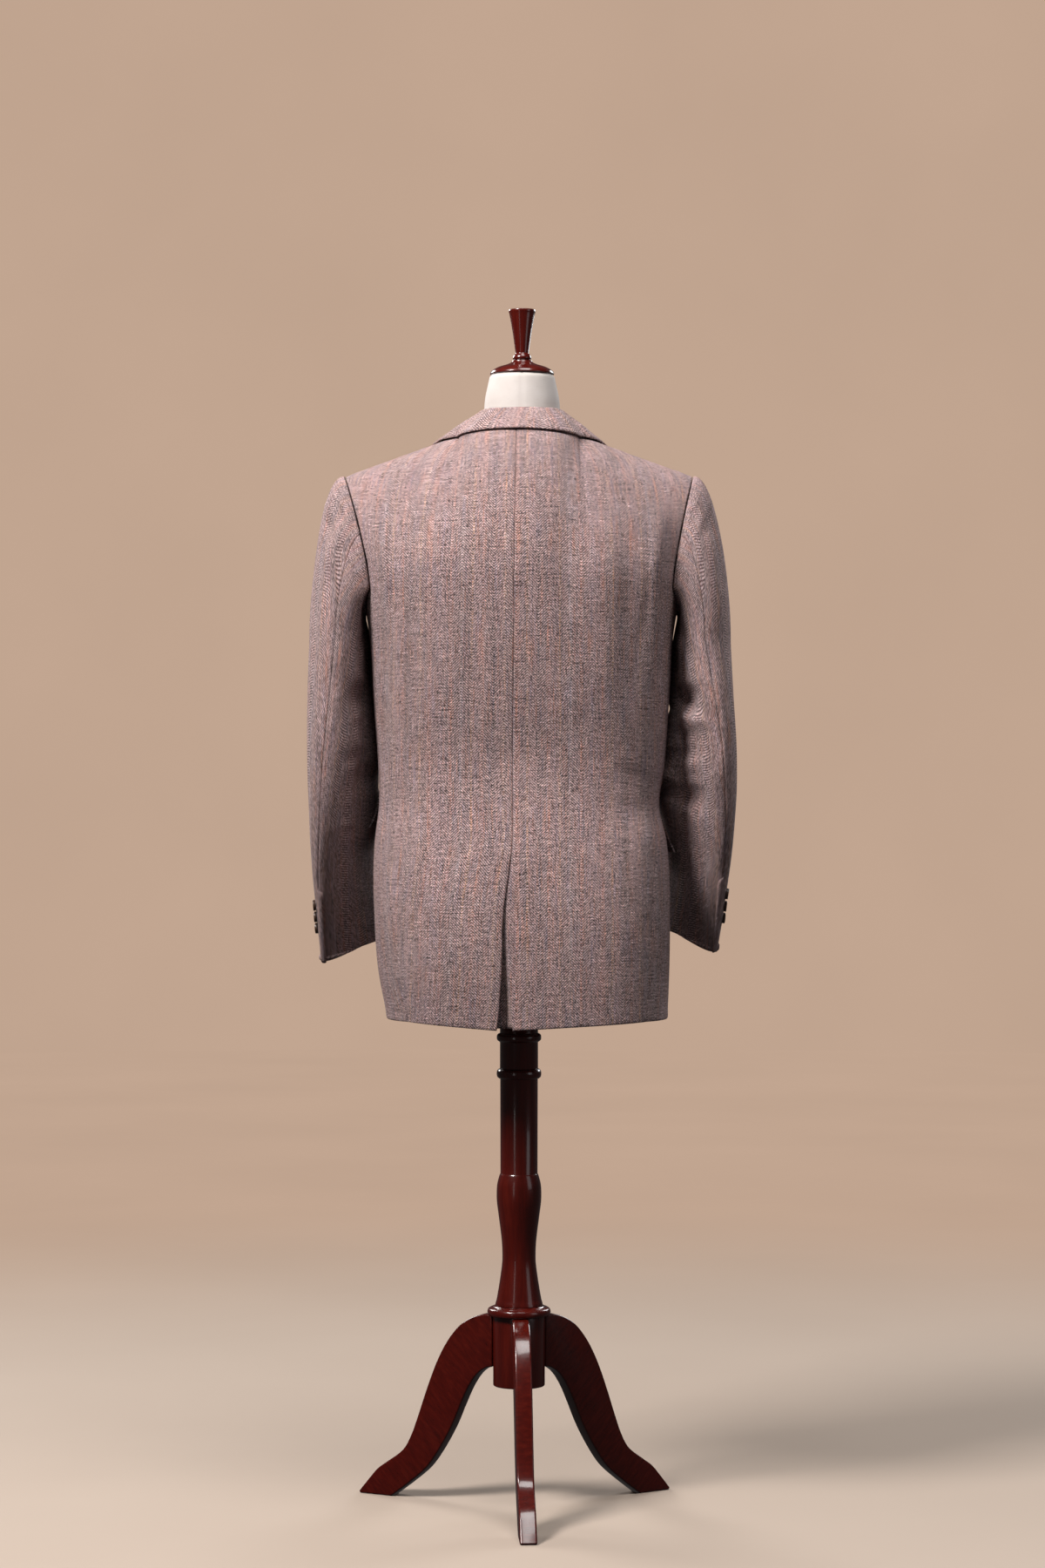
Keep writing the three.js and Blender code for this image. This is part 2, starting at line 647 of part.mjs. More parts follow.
function frontButtons() {
  const surface = (across, row) => front(1, across, row);
  FRONT_BUTTON.heights.forEach((z, i) => {
    const row = (z - HEM.front) / (SCYE - HEM.front);
    const normal = normalOf(surface, 1, row, -1);
    const point = surface(1, row).addScaledVector(normal, CF_LAP);
    button(`front_button_${i + 1}`, FRONT_BUTTON, point, normal);
  });
}

function cuffButtons(side) {
  const cuff = RINGS[side][RINGS[side].length - 1][0];
  const surface = (angle, z) => ringPoint(side, angle, z);
  for (let i = 0; i < CUFF_BUTTON.count; i += 1) {
    const z = cuff + CUFF_BUTTON.first + i * CUFF_BUTTON.pitch;
    const across = surface(CUFF_BUTTON.angle + 1, z).sub(surface(CUFF_BUTTON.angle - 1, z));
    const down = surface(CUFF_BUTTON.angle, z - 1).sub(surface(CUFF_BUTTON.angle, z + 1));
    const normal = down.cross(across).normalize().multiplyScalar(side);
    button(`cuff_button_${NAME[side]}_${i + 1}`, CUFF_BUTTON, surface(CUFF_BUTTON.angle, z), normal);
  }
}

// Sleeves: from each armhole point to a ring at the upper arm, then rings down to the cuff
function armhole(side, along) {
  if (along <= 1) return back(side, 1, 2 - along);
  if (along <= 2) return sidePanel(side, along - 1, 1);
  return front(side, 0, along - 1);
}

function ring(side, z) {
  const value = (name, at) => read(RINGS[side], RING_COLUMNS, "z", name, at);
  const centre = (at) => new THREE.Vector3(side * value("x", at), value("y", at), at);
  const down = centre(z - 4).sub(centre(z + 4)).normalize();
  const turn = value("turn", z) * DEG;
  const long = new THREE.Vector3(side * Math.sin(turn), Math.cos(turn), 0);
  long.addScaledVector(down, -long.dot(down)).normalize();
  const out = new THREE.Vector3(side * Math.cos(turn), -Math.sin(turn), 0);
  out.addScaledVector(down, -out.dot(down)).addScaledVector(long, -out.dot(long)).normalize();
  return { centre: centre(z), long, out, thin: value("thin", z), wide: value("wide", z) };
}

function ringPoint(side, angle, z, swell = 0) {
  const { centre, long, out, thin, wide } = ring(side, z);
  const turn = angle * DEG;
  const point = centre.clone().addScaledVector(out, (thin + swell) * Math.cos(turn));
  return point.addScaledVector(long, (wide + swell) * Math.sin(turn));
}

const UPPER_RING = RINGS[1][0][0];

function sleevePoint(side, along, angle, down) {
  const cuff = RINGS[side][RINGS[side].length - 1][0];
  if (down > 1) {
    const z = mix(UPPER_RING, cuff, down - 1);
    return ringPoint(side, angle, z, folds(SLEEVE_FOLDS[side], angle, z));
  }
  const start = armhole(side, along);
  const cosine = Math.cos(angle * DEG);
  const sine = Math.sin(angle * DEG);
  const up = CAP.up + CAP.upTop * cosine - CAP.drop * sine * sine;
  const leave = new THREE.Vector3(side * (CAP.out + CAP.outTop * cosine), CAP.along * sine, up);
  const arrive = new THREE.Vector3(0, 0, -(CAP.hang + CAP.hangTop * cosine));
  start.addScaledVector(leave.clone().normalize(), SEAM + 0.1);
  const point = curve(start, leave, ringPoint(side, angle, UPPER_RING), arrive, down);
  const swell = folds(SLEEVE_FOLDS[side], angle, point.z) * Math.min(1, down / CAP_FOLDS_FROM);
  return point.addScaledVector(new THREE.Vector3(side * cosine, sine, 0), swell);
}

function topSleeve(side, across, down) {
  const early = across < SHOULDER_ON_TOP;
  const late = (across - SHOULDER_ON_TOP) / (1 - SHOULDER_ON_TOP);
  const along = early ? HIND_ON_ARMHOLE * (1 - across / SHOULDER_ON_TOP) : mix(3, FORE_ON_ARMHOLE, late);
  return sleevePoint(side, Math.min(Math.max(along, 0), 3), mix(...TOP_ANGLES, across), down);
}

function underSleeve(side, across, down) {
  const found = UNDER_STEPS.findIndex(([to]) => across < to);
  const i = found < 0 ? UNDER_STEPS.length - 1 : Math.max(found, 1);
  const [from, start] = UNDER_STEPS[i - 1];
  const [to, end] = UNDER_STEPS[i];
  const along = mix(start, end, (across - from) / (to - from));
  return sleevePoint(side, along, mix(...UNDER_ANGLES, across), down);
}

function sleeve(side) {
  const steps = [...CAP_STEPS, ...spread(1, 2, ARM_STEPS).slice(1)];
  const topCols = [0, 0.1, 0.2, 0.3, 0.41, 0.52, 0.64, 0.76, 0.88, 1];
  const underCols = [0, 0.145, 0.29, 0.41, 0.53, 0.65, 0.77, 0.88, 1];
  const top = gridOf(steps, topCols, (a, d) => [a, d]);
  const under = gridOf(steps, underCols, (a, d) => [a, d]);
  const topWall = wall((a, d) => topSleeve(side, a, d), side, top, 0, -CLOTH);
  const underWall = wall((a, d) => underSleeve(side, a, d), -side, under, 0, -CLOTH);
  add(`top_sleeve_${NAME[side]}`, topWall, "tweed");
  add(`under_sleeve_${NAME[side]}`, underWall, "tweed");
}

// The form: rings inside the cloth, shoulders closed by arm plates, then the neck
function formPoint(surface, side, across, row) {
  const inset = read(FORM_INSET, FORM_COLUMNS, "row", "inset", row);
  const point = surface(side, across, row);
  const onShoulder = surface === frontPlain ? across <= NECK_ON_FRONT : across >= NECK_ON_BACK;
  if (row === 2 && onShoulder) return point.sub(new THREE.Vector3(0, 0, SHOULDER_SEAT));
  const step = (a, r) => surface(side, a, r);
  return point.addScaledVector(normalOf(step, across, row, -side), -inset);
}

const FORM_BACK = [...spread(0, NECK_ON_BACK, 5), ...spread(NECK_ON_BACK, 1, 5).slice(1)];
const FORM_PLATE = spread(0, 1, 4);
const FORM_FRONT = [...spread(0, NECK_ON_FRONT, 5), ...spread(NECK_ON_FRONT, 1, 5).slice(1)];
const FORM_ROWS = [0.18, 0.3, 0.4, 0.5, 0.6, 0.7, 0.8, 0.9, 1, 1.15, 1.3, 1.45, 1.6, 1.75, 1.88, 1.95, 2];

function formHalf(side, row) {
  const level = () => edgeAngle(1, SCYE);
  const behind = FORM_BACK.map((a) => formPoint((s, w, r) => backPlain(s, w, r, level), side, a, row));
  const before = FORM_FRONT.map((a) => formPoint(frontPlain, side, a, row));
  const from = behind[behind.length - 1];
  const to = before[0];
  const plate = FORM_PLATE.slice(1, -1).map((t) => {
    const under = formPoint(sidePanel, side, t, Math.min(row, 1));
    if (row <= 1) return under;
    const chord = formPoint(sidePanel, side, 0, 1).lerp(formPoint(sidePanel, side, 1, 1), t);
    const droop = under.sub(chord).multiplyScalar((2 - row) ** 2);
    return from.clone().lerp(to, t).add(row < 2 ? droop : new THREE.Vector3());
  });
  return [...behind, ...plate, ...before];
}

function formRing(row) {
  const left = formHalf(1, row);
  const right = formHalf(-1, row).reverse();
  return [...left, ...right.slice(1, -1)];
}

function dressForm() {
  const faces = [];
  const join = (low, high) => low.forEach((point, i) => {
    const next = (i + 1) % low.length;
    faces.push([point, low[next], high[next]], [point, high[next], high[i]]);
  });
  const cap = (loop, centre, up) => loop.forEach((point, i) => {
    const next = loop[(i + 1) % loop.length];
    faces.push(up ? [point, next, centre] : [next, point, centre]);
  });
  const bottom = formRing(FORM_BOTTOM.row).map((point) => point.setZ(FORM_BOTTOM.z));
  const rings = [bottom, ...FORM_ROWS.map(formRing)];
  rings[rings.length - 1] = weldShoulders(rings[rings.length - 1]);
  rings.slice(1).forEach((ringAbove, i) => join(rings[i], ringAbove));
  const onNeck = FORM_BACK.filter((a) => a <= NECK_ON_BACK).length;
  const top = rings[rings.length - 1];
  const count = top.length;
  const half = FORM_BACK.length + FORM_PLATE.length - 2 + FORM_FRONT.length;
  const isNeck = (i) => {
    const j = i < half ? i : count - i;
    return j < onNeck || j >= half - onNeck + 1;
  };
  let loop = top.filter((_, i) => isNeck(i));
  for (const { z, x, y } of NECK_RINGS) {
    const above = loop.map((_, i) => {
      const turn = (i / loop.length) * Math.PI * 2;
      return new THREE.Vector3(NECK_LEAN + x * Math.sin(turn), y * Math.cos(turn), z);
    });
    join(loop, above);
    loop = above;
  }
  cap(bottom, new THREE.Vector3(0, 0, FORM_BOTTOM.z), false);
  cap(loop, new THREE.Vector3(NECK_LEAN, 0, loop[0].z), true);
  add("dress_form", solid(faces), "form");
}

// At the top the back and the front share their shoulder points
function weldShoulders(loop) {
  const neck = FORM_BACK.filter((a) => a < NECK_ON_BACK).length;
  const tip = FORM_BACK.length - 1;
  const far = 2 * tip + FORM_PLATE.length - 1;
  const result = [...loop];
  for (const place of [(i) => i, (i) => (loop.length - i) % loop.length]) {
    for (let i = tip; i <= far - neck; i += 1) {
      result[place(i)] = loop[place(Math.min(tip, far - i))];
    }
  }
  return result;
}

// Turned pieces and legs
function turned(name, profile, finish, x = 0) {
  const points = profile.map(([radius, z]) => new THREE.Vector2(radius, z));
  const geometry = new THREE.LatheGeometry(points, TURNED_SIDES).rotateX(Math.PI / 2);
  const mesh = add(name, geometry, finish);
  mesh.position.x = x;
}

function leg(name, turn) {
  const toPoints = (rows) => rows.map(([r, z]) => new THREE.Vector2(r, z));
  const outer = new THREE.SplineCurve(toPoints(LEG_OUTER)).getPoints(LEG_OUTER.length + 8);
  const inner = new THREE.SplineCurve(toPoints(LEG_INNER)).getPoints(LEG_INNER.length + 6);
  const board = new THREE.ExtrudeGeometry(new THREE.Shape([...outer, ...inner]), {
    depth: LEG_THICK,
    bevelEnabled: false,
  });
  board.translate(0, 0, -LEG_THICK / 2).rotateX(Math.PI / 2);
  add(name, board, "wood").rotation.z = (90 + turn) * DEG;
}

for (const side of [1, -1]) {
  backPanel(side);
  sideBody(side);
  frontPanel(side);
  lapel(side);
  sleeve(side);
  pocketFlap(side);
  cuffButtons(side);
}
ventUnderlap();
collar();
frontButtons();
dressForm();
turned("finial", FINIAL, "wood", NECK_LEAN);
turned("neck_cap", NECK_CAP, "wood", NECK_LEAN);
turned("column_top", COLUMN_TOP, "wood");
turned("column_turned", COLUMN_TURNED, "wood");
turned("base_moulding", BASE_MOULDING, "wood");
turned("hub", HUB, "wood");
leg("leg_back", LEG_TURN);
leg("leg_left", LEG_TURN - 120);
leg("leg_right", LEG_TURN + 120);

export default object;
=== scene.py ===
"""A herringbone tweed blazer on a limbless dress form with a turned column and three legs."""
import math

import bpy
import numpy as np
from mathutils import Matrix, Vector


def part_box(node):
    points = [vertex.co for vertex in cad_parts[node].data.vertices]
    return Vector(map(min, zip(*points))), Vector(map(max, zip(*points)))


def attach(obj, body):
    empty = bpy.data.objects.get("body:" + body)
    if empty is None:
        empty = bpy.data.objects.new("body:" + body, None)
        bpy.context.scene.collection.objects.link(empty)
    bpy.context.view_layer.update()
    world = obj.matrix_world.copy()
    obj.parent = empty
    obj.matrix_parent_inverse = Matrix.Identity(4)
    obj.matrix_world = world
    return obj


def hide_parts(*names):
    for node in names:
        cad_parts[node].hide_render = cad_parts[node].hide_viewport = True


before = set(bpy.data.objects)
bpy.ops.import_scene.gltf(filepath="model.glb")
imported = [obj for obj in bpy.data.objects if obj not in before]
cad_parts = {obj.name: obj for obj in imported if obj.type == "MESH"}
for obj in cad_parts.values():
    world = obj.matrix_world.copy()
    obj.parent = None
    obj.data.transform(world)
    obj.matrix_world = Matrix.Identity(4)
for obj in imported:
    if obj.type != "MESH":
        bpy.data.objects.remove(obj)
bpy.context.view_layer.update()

# Sizes are in millimetres and are measured from the column's axis at floor level.
# The fronts face -Y, the back faces +Y, and +X is the wearer's left.
MM = 0.001
LEFT, RIGHT = 1, -1
NAME = {LEFT: "left", RIGHT: "right"}
HUB_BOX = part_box("hub")
AXIS = np.array([*((HUB_BOX[0] + HUB_BOX[1]) / 2)[:2], 0.0]) / MM

# Body of the coat
CLOTH = 2.0
SEAM = 0.32
SCYE = 1178.0
UNDERARM_DROP = 32.0
SETTLED = 1.25
HEM_BACK, HEM_SIDE, HEM_FRONT = 621.5, 630.0, 627.0
SHOULDER = (223.0, 0.0, 1325.0)
NECK_HALF, NECK_BACK, NECK_FRONT = 76.0, 62.0, 58.0
NECK_CB_Z, NECK_SIDE_Z, NECK_PIT_Z = 1388.0, 1378.0, 1338.0
NECK_ON_BACK, NECK_ON_FRONT = 0.46, 0.55
SECTION_POWER = 2.5
VENT_TOP = 859.0
CF_LAP = 1.3


def blend(start, leave, end, arrive, t):
    """A cubic from start to end that leaves and arrives with the given slopes."""
    far = t * t * (3 - 2 * t)
    return start * (1 - far) + leave * (t**3 - 2 * t**2 + t) + end * far + arrive * (t**3 - t**2)


def mix(a, b, t):
    return a + (b - a) * t


def bump(value, centre, half):
    t = np.minimum(np.abs(value - centre) / half, 1)
    return (1 - t * t) ** 2


def ease(low, high, value):
    t = np.clip((value - low) / (high - low), 0, 1)
    return t * t * (3 - 2 * t)


def points(x, y, z):
    return np.stack(np.broadcast_arrays(x, y, z), axis=-1).astype(float)


def unit(vectors):
    return vectors / np.maximum(np.linalg.norm(vectors, axis=-1, keepdims=True), 1e-9)


class Table:
    """Named columns of sizes, read as a smooth curve over the first column."""

    def __init__(self, names, rows):
        self.names = names.split()
        self.data = np.array(sorted(rows), float)
        self.keys = self.data[:, 0]
        last = len(self.keys) - 1
        below = np.maximum(np.arange(last + 1) - 1, 0)
        above = np.minimum(np.arange(last + 1) + 1, last)
        step = (self.keys[above] - self.keys[below])[:, None]
        self.slopes = (self.data[above] - self.data[below]) / step

    def __call__(self, name, value):
        c = self.names.index(name)
        value = np.clip(value, self.keys[0], self.keys[-1])
        i = np.clip(np.searchsorted(self.keys, value) - 1, 0, len(self.keys) - 2)
        step = self.keys[i + 1] - self.keys[i]
        t = (value - self.keys[i]) / step
        start, end = self.data[i, c], self.data[i + 1, c]
        return blend(start, self.slopes[i, c] * step, end, self.slopes[i + 1, c] * step, t)


SECTIONS = Table("z half back front sway edge_left edge_right seam_back seam_front", [
    (621, 179, 135, 128, -11, 28, 8, 59, 116),
    (640, 181, 137, 130, -10, 26, 9, 59, 116),
    (695, 187, 141, 136, -6, 22, 12, 60, 116),
    (765, 190, 141, 140, -4, 20, 15, 62, 116),
    (812, 190, 136, 139, -3, 14, 12, 65, 115),
    (859, 187, 127, 134, -2, 8, 8, 71, 114),
    (902, 180, 117, 128, 0, 8, 8, 76, 113),
    (955, 184, 112, 129, -3, 8, 8, 79, 112),
    (1040, 190, 124, 138, -3, 7, 7, 77, 111),
    (1110, 194, 134, 146, -3, 6.5, 6.5, 75, 110),
    (1178, 203, 140, 150, -3, 6, 6, 72, 109),
    (1230, 206, 142, 150, -2, 5, 5, 71, 108),
])

# How each column leaves the underarm level and how it reaches the neck or shoulder
BACK_RISE = Table("across up_x up_y up_z in_x in_y in_z", [
    (0, 0, 40, 230, 0, -170, 90),
    (0.46, 0, 30, 240, 0, -190, 0),
    (0.75, 3, 30, 200, 0, -170, 0),
    (1, 8, 42, 150, 0, -130, 0),
])
FRONT_RISE = Table("across up_x up_y up_z in_x in_y in_z", [
    (0, -2, -45, 140, 0, 135, 0),
    (0.3, 0, -25, 190, 0, 170, 0),
    (0.55, 0, -10, 230, 0, 190, 0),
    (1, 0, 0, 160, 0, 120, 110),
])
FRONT_EDGE = Table("row across", [
    (0, 0.7), (0.009, 0.8), (0.028, 0.87), (0.06, 0.925), (0.12, 0.975), (0.21, 1.03), (0.31, 1.075),
    (0.41, 1.084), (0.585, 1.084), (0.68, 1.03), (0.79, 0.975), (0.9, 0.93), (1, 0.89), (1.25, 0.83),
    (1.5, 0.765), (1.75, 0.68), (2, NECK_ON_FRONT),
])

# Soft folds: across, row, half width, half height and depth, outward when positive
BACK_FOLDS = {
    LEFT: [
        (0.86, 1.25, 0.07, 0.5, 5), (0.7, 1.15, 0.09, 0.55, -3.5), (0.3, 1.2, 0.12, 0.6, -3),
        (0.5, 0.42, 0.2, 0.2, -3), (0.5, 1.6, 0.16, 0.27, 6), (0.33, 1.62, 0.1, 0.25, -1.5),
    ],
    RIGHT: [
        (0.86, 1.15, 0.07, 0.5, 5), (0.7, 1.05, 0.1, 0.5, -4), (0.34, 1.1, 0.14, 0.5, -2.5),
        (0.75, 0.5, 0.2, 0.12, -3), (0.5, 1.6, 0.16, 0.27, 6), (0.33, 1.62, 0.1, 0.25, -1.5),
    ],
}
FRONT_FOLDS = {
    LEFT: [(0.12, 1.15, 0.08, 0.4, 4), (0.3, 1.05, 0.12, 0.4, -3)],
    RIGHT: [(0.13, 1.12, 0.08, 0.4, 3.6), (0.31, 1.02, 0.12, 0.4, -3.3)],
}

# Creases seen from behind: x, z, half length, half width, turn from the horizontal, depth
BACK_CREASES = [
    (30, 853, 26, 7, 14, -1.6), (24, 838, 30, 8, 48, 1.4), (8, 846, 16, 5, -20, 1.0),
    (52, 1150, 150, 16, 88, -1.4), (80, 1090, 120, 18, 92, 1.1), (-60, 1120, 140, 18, 91, -1.2),
    (150, 1160, 90, 10, 80, -1.6), (168, 1140, 80, 8, 83, 1.5), (-156, 1130, 90, 10, 98, -1.7),
    (-172, 1110, 80, 8, 96, 1.4), (-150, 940, 34, 9, 20, -1.5), (-140, 915, 34, 8, 26, 1.2),
    (150, 905, 40, 10, -16, -1.3), (140, 880, 40, 10, -12, 1.0), (90, 720, 90, 24, 86, 1.3),
    (-110, 740, 100, 24, 94, -1.3), (40, 1340, 40, 7, 12, -0.9), (-44, 1338, 40, 7, -14, -0.9),
]
FRONT_CREASES = [
    (150, 1150, 90, 11, 82, -1.6), (-150, 1140, 90, 11, 98, -1.6), (60, 900, 70, 9, 22, -1.5),
    (-62, 902, 70, 9, -24, -1.5), (90, 880, 60, 9, 16, 1.2), (-95, 884, 60, 9, -18, 1.2),
    (110, 720, 100, 22, 92, 1.4), (-105, 725, 100, 22, 87, -1.4),
]

# Sleeve rings: centre, half thickness, half width and turn of the flat section
RINGS = {
    LEFT: Table("z x y thin wide turn", [
        (1112, 232.5, -2, 36.5, 77, 0),
        (1040, 234.6, 2, 36, 74, 4),
        (970, 235.5, 1, 33.5, 71, 10.5),
        (900, 234.3, -12, 29, 69, 16.5),
        (830, 229.5, -38, 25, 67, 25),
        (770, 220, -63, 22, 66, 35),
        (722, 211, -83, 19, 66, 42),
    ]),
    RIGHT: Table("z x y thin wide turn", [
        (1112, 236, -2, 36, 77, 0),
        (1040, 240, 2, 34.5, 74, 6),
        (970, 242.1, 1, 32.5, 71, 14),
        (900, 239, -13, 31, 69, 21),
        (830, 232.8, -40, 26, 67, 26),
        (780, 223.5, -62, 22.5, 66, 34),
        (738, 213.5, -82, 19, 66, 41),
    ]),
}
UPPER_RING = 1112.0
CUFF = {side: float(RINGS[side].keys[0]) for side in (LEFT, RIGHT)}
HIND_ON_ARMHOLE, FORE_ON_ARMHOLE = 0.62, 2.15
SHOULDER_ON_TOP = 0.41
TOP_ANGLES, UNDER_ANGLES = (90, -100), (90, 260)
UNDER_STEPS = ((0, 0.29, 0.88, 1), (HIND_ON_ARMHOLE, 1, 2, FORE_ON_ARMHOLE))
SLEEVE_FOLDS = {
    LEFT: [
        (50, 1262, 26, 34, -7), (66, 1235, 18, 46, 4), (150, 1040, 40, 26, -6), (150, 985, 40, 26, 4),
        (200, 940, 50, 24, -5), (228, 970, 58, 180, 27), (232, 1088, 50, 55, 7),
        (208, 1108, 42, 50, 4), (208, 1138, 42, 24, 2.5),
    ],
    RIGHT: [
        (52, 1262, 26, 34, -4), (150, 1043, 46, 18, -9), (150, 1010, 46, 16, 5), (160, 915, 46, 20, -7),
        (160, 955, 46, 18, 5), (200, 960, 50, 24, -5), (228, 952, 58, 140, 29), (232, 1080, 50, 60, 9),
        (212, 1080, 46, 60, 6.5), (212, 1134, 42, 26, 3), (216, 1030, 40, 20, 3),
    ],
}


def folds(table, a, b):
    return sum(depth * bump(a, at_a, wide) * bump(b, at_b, tall) for at_a, at_b, wide, tall, depth in table)


def creases(table, x, z):
    """The depth of every crease of a table at places seen from behind or before."""
    total = 0.0
    for at_x, at_z, long, wide, turn, depth in table:
        along = (x - at_x) * math.cos(math.radians(turn)) + (z - at_z) * math.sin(math.radians(turn))
        over = (z - at_z) * math.cos(math.radians(turn)) - (x - at_x) * math.sin(math.radians(turn))
        total = total + depth * bump(along, 0, long) * bump(over, 0, wide)
    return total


def ripple(a, b, wave, seed):
    """Smooth seeded unevenness from -1 to 1 with the given wave length along both directions."""
    lattice = np.random.default_rng(seed).uniform(-1, 1, (64, 64))
    a, b = np.broadcast_arrays(a / wave, b / wave)
    i, j = np.floor(a).astype(int), np.floor(b).astype(int)
    s, t = a - i, b - j
    s, t = s * s * (3 - 2 * s), t * t * (3 - 2 * t)
    at = lambda p, q: lattice[(i + p) % 64, (j + q) % 64]
    return mix(mix(at(0, 0), at(1, 0), s), mix(at(0, 1), at(1, 1), s), t)


# Soft unevenness of each panel: depth, wave length and seed
UNEVEN = {
    "back": (0.7, 62, 11), "back_fine": (0.3, 27, 12), "side": (0.6, 55, 13), "front": (0.6, 62, 14),
    "sleeve": (0.8, 58, 15),
}
ACROSS_START = 400


def uneven(kind, a, b, more=0):
    depth, wave, seed = UNEVEN[kind]
    return depth * ripple(a, b, wave, seed + more)


def tube(angle, z):
    """The coat's body below the arms: angle 0 is the middle of the back."""
    turn = np.radians(angle)
    depth = np.where(np.cos(turn) > 0, SECTIONS("back", z), SECTIONS("front", z))
    wide = np.abs(np.sin(turn) / SECTIONS("half", z)) ** SECTION_POWER
    deep = np.abs(np.cos(turn) / depth) ** SECTION_POWER
    radius = (wide + deep) ** (-1 / SECTION_POWER)
    return points(SECTIONS("sway", z) + radius * np.sin(turn), radius * np.cos(turn), z)


def edge_angle(side, z):
    x = SECTIONS("edge_left" if side > 0 else "edge_right", z) - SECTIONS("sway", z)
    return np.degrees(np.arctan2(x, SECTIONS("back", z)))


def rise(table, side, across, way):
    return points(side * table(way + "_x", across), table(way + "_y", across), table(way + "_z", across))


def shoulder_line(side, t):
    x = mix(NECK_HALF, SHOULDER[0], t)
    return points(side * x, SHOULDER[1], mix(NECK_SIDE_Z, SHOULDER[2], t))


def back_top(side, across):
    turn = np.radians(np.clip(across / NECK_ON_BACK, 0, 1) * 90)
    neck = points(3 * np.cos(turn) + side * NECK_HALF * np.sin(turn), NECK_BACK * np.cos(turn),
                  mix(NECK_SIDE_Z, NECK_CB_Z, np.cos(turn)))
    shoulder = shoulder_line(side, (across - NECK_ON_BACK) / (1 - NECK_ON_BACK))
    return np.where((across > NECK_ON_BACK)[..., None], shoulder, neck)


def front_top(side, across):
    turn = np.radians((across - NECK_ON_FRONT) / (1 - NECK_ON_FRONT) * 90)
    neck = points(side * NECK_HALF * np.cos(turn), -NECK_FRONT * np.sin(turn),
                  mix(NECK_SIDE_Z, NECK_PIT_Z, np.sin(turn) ** 2))
    shoulder = shoulder_line(side, 1 - across / NECK_ON_FRONT)
    return np.where((across < NECK_ON_FRONT)[..., None], shoulder, neck)


def back_plain(side, across, row, start=edge_angle):
    across, row = np.broadcast_arrays(np.asarray(across, float), np.asarray(row, float))
    z = mix(mix(HEM_BACK, HEM_SIDE, across), SCYE, np.minimum(row, 1))
    low = tube(mix(start(side, z), side * SECTIONS("seam_back", z), across), z)
    up = np.maximum(row - 1, 0)[..., None]
    return blend(low, rise(BACK_RISE, side, across, "up"), back_top(side, across),
                 rise(BACK_RISE, side, across, "in"), up)


def back(side, across, row):
    point = back_plain(side, across, row)
    x, z = point[..., 0], point[..., 2]
    point[..., 1] += folds(BACK_FOLDS[side], across, row) + creases(BACK_CREASES, x, z)
    point[..., 1] += uneven("back", x + ACROSS_START, z) * ease(0, 0.1, across)
    point[..., 1] += uneven("back_fine", x + ACROSS_START, z)
    return point


def side_panel_plain(side, across, row):
    top = SCYE - UNDERARM_DROP * np.maximum(0, np.sin(across * np.pi))
    z = mix(HEM_SIDE, top, row)
    return tube(side * mix(SECTIONS("seam_back", z), SECTIONS("seam_front", z), across), z)


def side_panel(side, across, row):
    point = side_panel_plain(side, across, row)
    inner_part = bump(across, 0.5, 0.5) * bump(row, 0.45, 0.6)
    point[..., 0] += side * uneven("side", point[..., 1] + ACROSS_START, point[..., 2]) * inner_part
    return point


def front_plain(side, across, row):
    across, row = np.broadcast_arrays(np.asarray(across, float), np.asarray(row, float))
    z = mix(mix(HEM_SIDE, HEM_FRONT, np.minimum(across, 1)), SCYE, np.minimum(row, 1))
    low = tube(side * mix(SECTIONS("seam_front", z), 180, across), z)
    up = np.maximum(row - 1, 0)[..., None]
    return blend(low, rise(FRONT_RISE, side, across, "up"), front_top(side, across),
                 rise(FRONT_RISE, side, across, "in"), up)


def front(side, across, row):
    point = front_plain(side, across, row)
    x, z = point[..., 0], point[..., 2]
    fade = 1 - ease(0.82, 0.98, across)
    extra = folds(FRONT_FOLDS[side], across, row) + creases(FRONT_CREASES, x, z) * fade
    point[..., 1] -= extra + uneven("front", x + ACROSS_START, z) * fade
    return point


def slopes_of(surface, a, b, step=0.004):
    return surface(a + step, b) - surface(a - step, b), surface(a, b + step) - surface(a, b - step)


def normal_of(surface, a, b, sign):
    along_a, along_b = slopes_of(surface, a, b)
    return unit(np.cross(along_a, along_b)) * sign


def armhole(side, along):
    along = np.clip(along, 0, 3)
    ones = np.ones_like(along)
    behind = back(side, ones, 2 - np.minimum(along, 1))
    under = side_panel(side, np.clip(along - 1, 0, 1), ones)
    before = front(side, 0 * ones, np.clip(along - 1, 1, 2))
    low = np.where((along <= 1)[..., None], behind, under)
    return np.where((along <= 2)[..., None], low, before)


def ring_point(side, angle, z, swell=0.0):
    table = RINGS[side]
    at = np.clip(z, CUFF[side], UPPER_RING)
    centre = lambda h: points(side * table("x", h), table("y", h), h)
    down = unit(centre(z - 4) - centre(z + 4))
    turn = np.radians(table("turn", at))
    long = points(side * np.sin(turn), np.cos(turn), 0 * turn)
    long = unit(long - down * np.sum(long * down, axis=-1, keepdims=True))
    out = points(side * np.cos(turn), -np.sin(turn), 0 * turn)
    out = out - down * np.sum(out * down, axis=-1, keepdims=True)
    out = unit(out - long * np.sum(out * long, axis=-1, keepdims=True))
    theta = np.radians(angle)
    thin = ((table("thin", at) + swell) * np.cos(theta))[..., None]
    wide = ((table("wide", at) + swell) * np.sin(theta))[..., None]
    return centre(z) + out * thin + long * wide


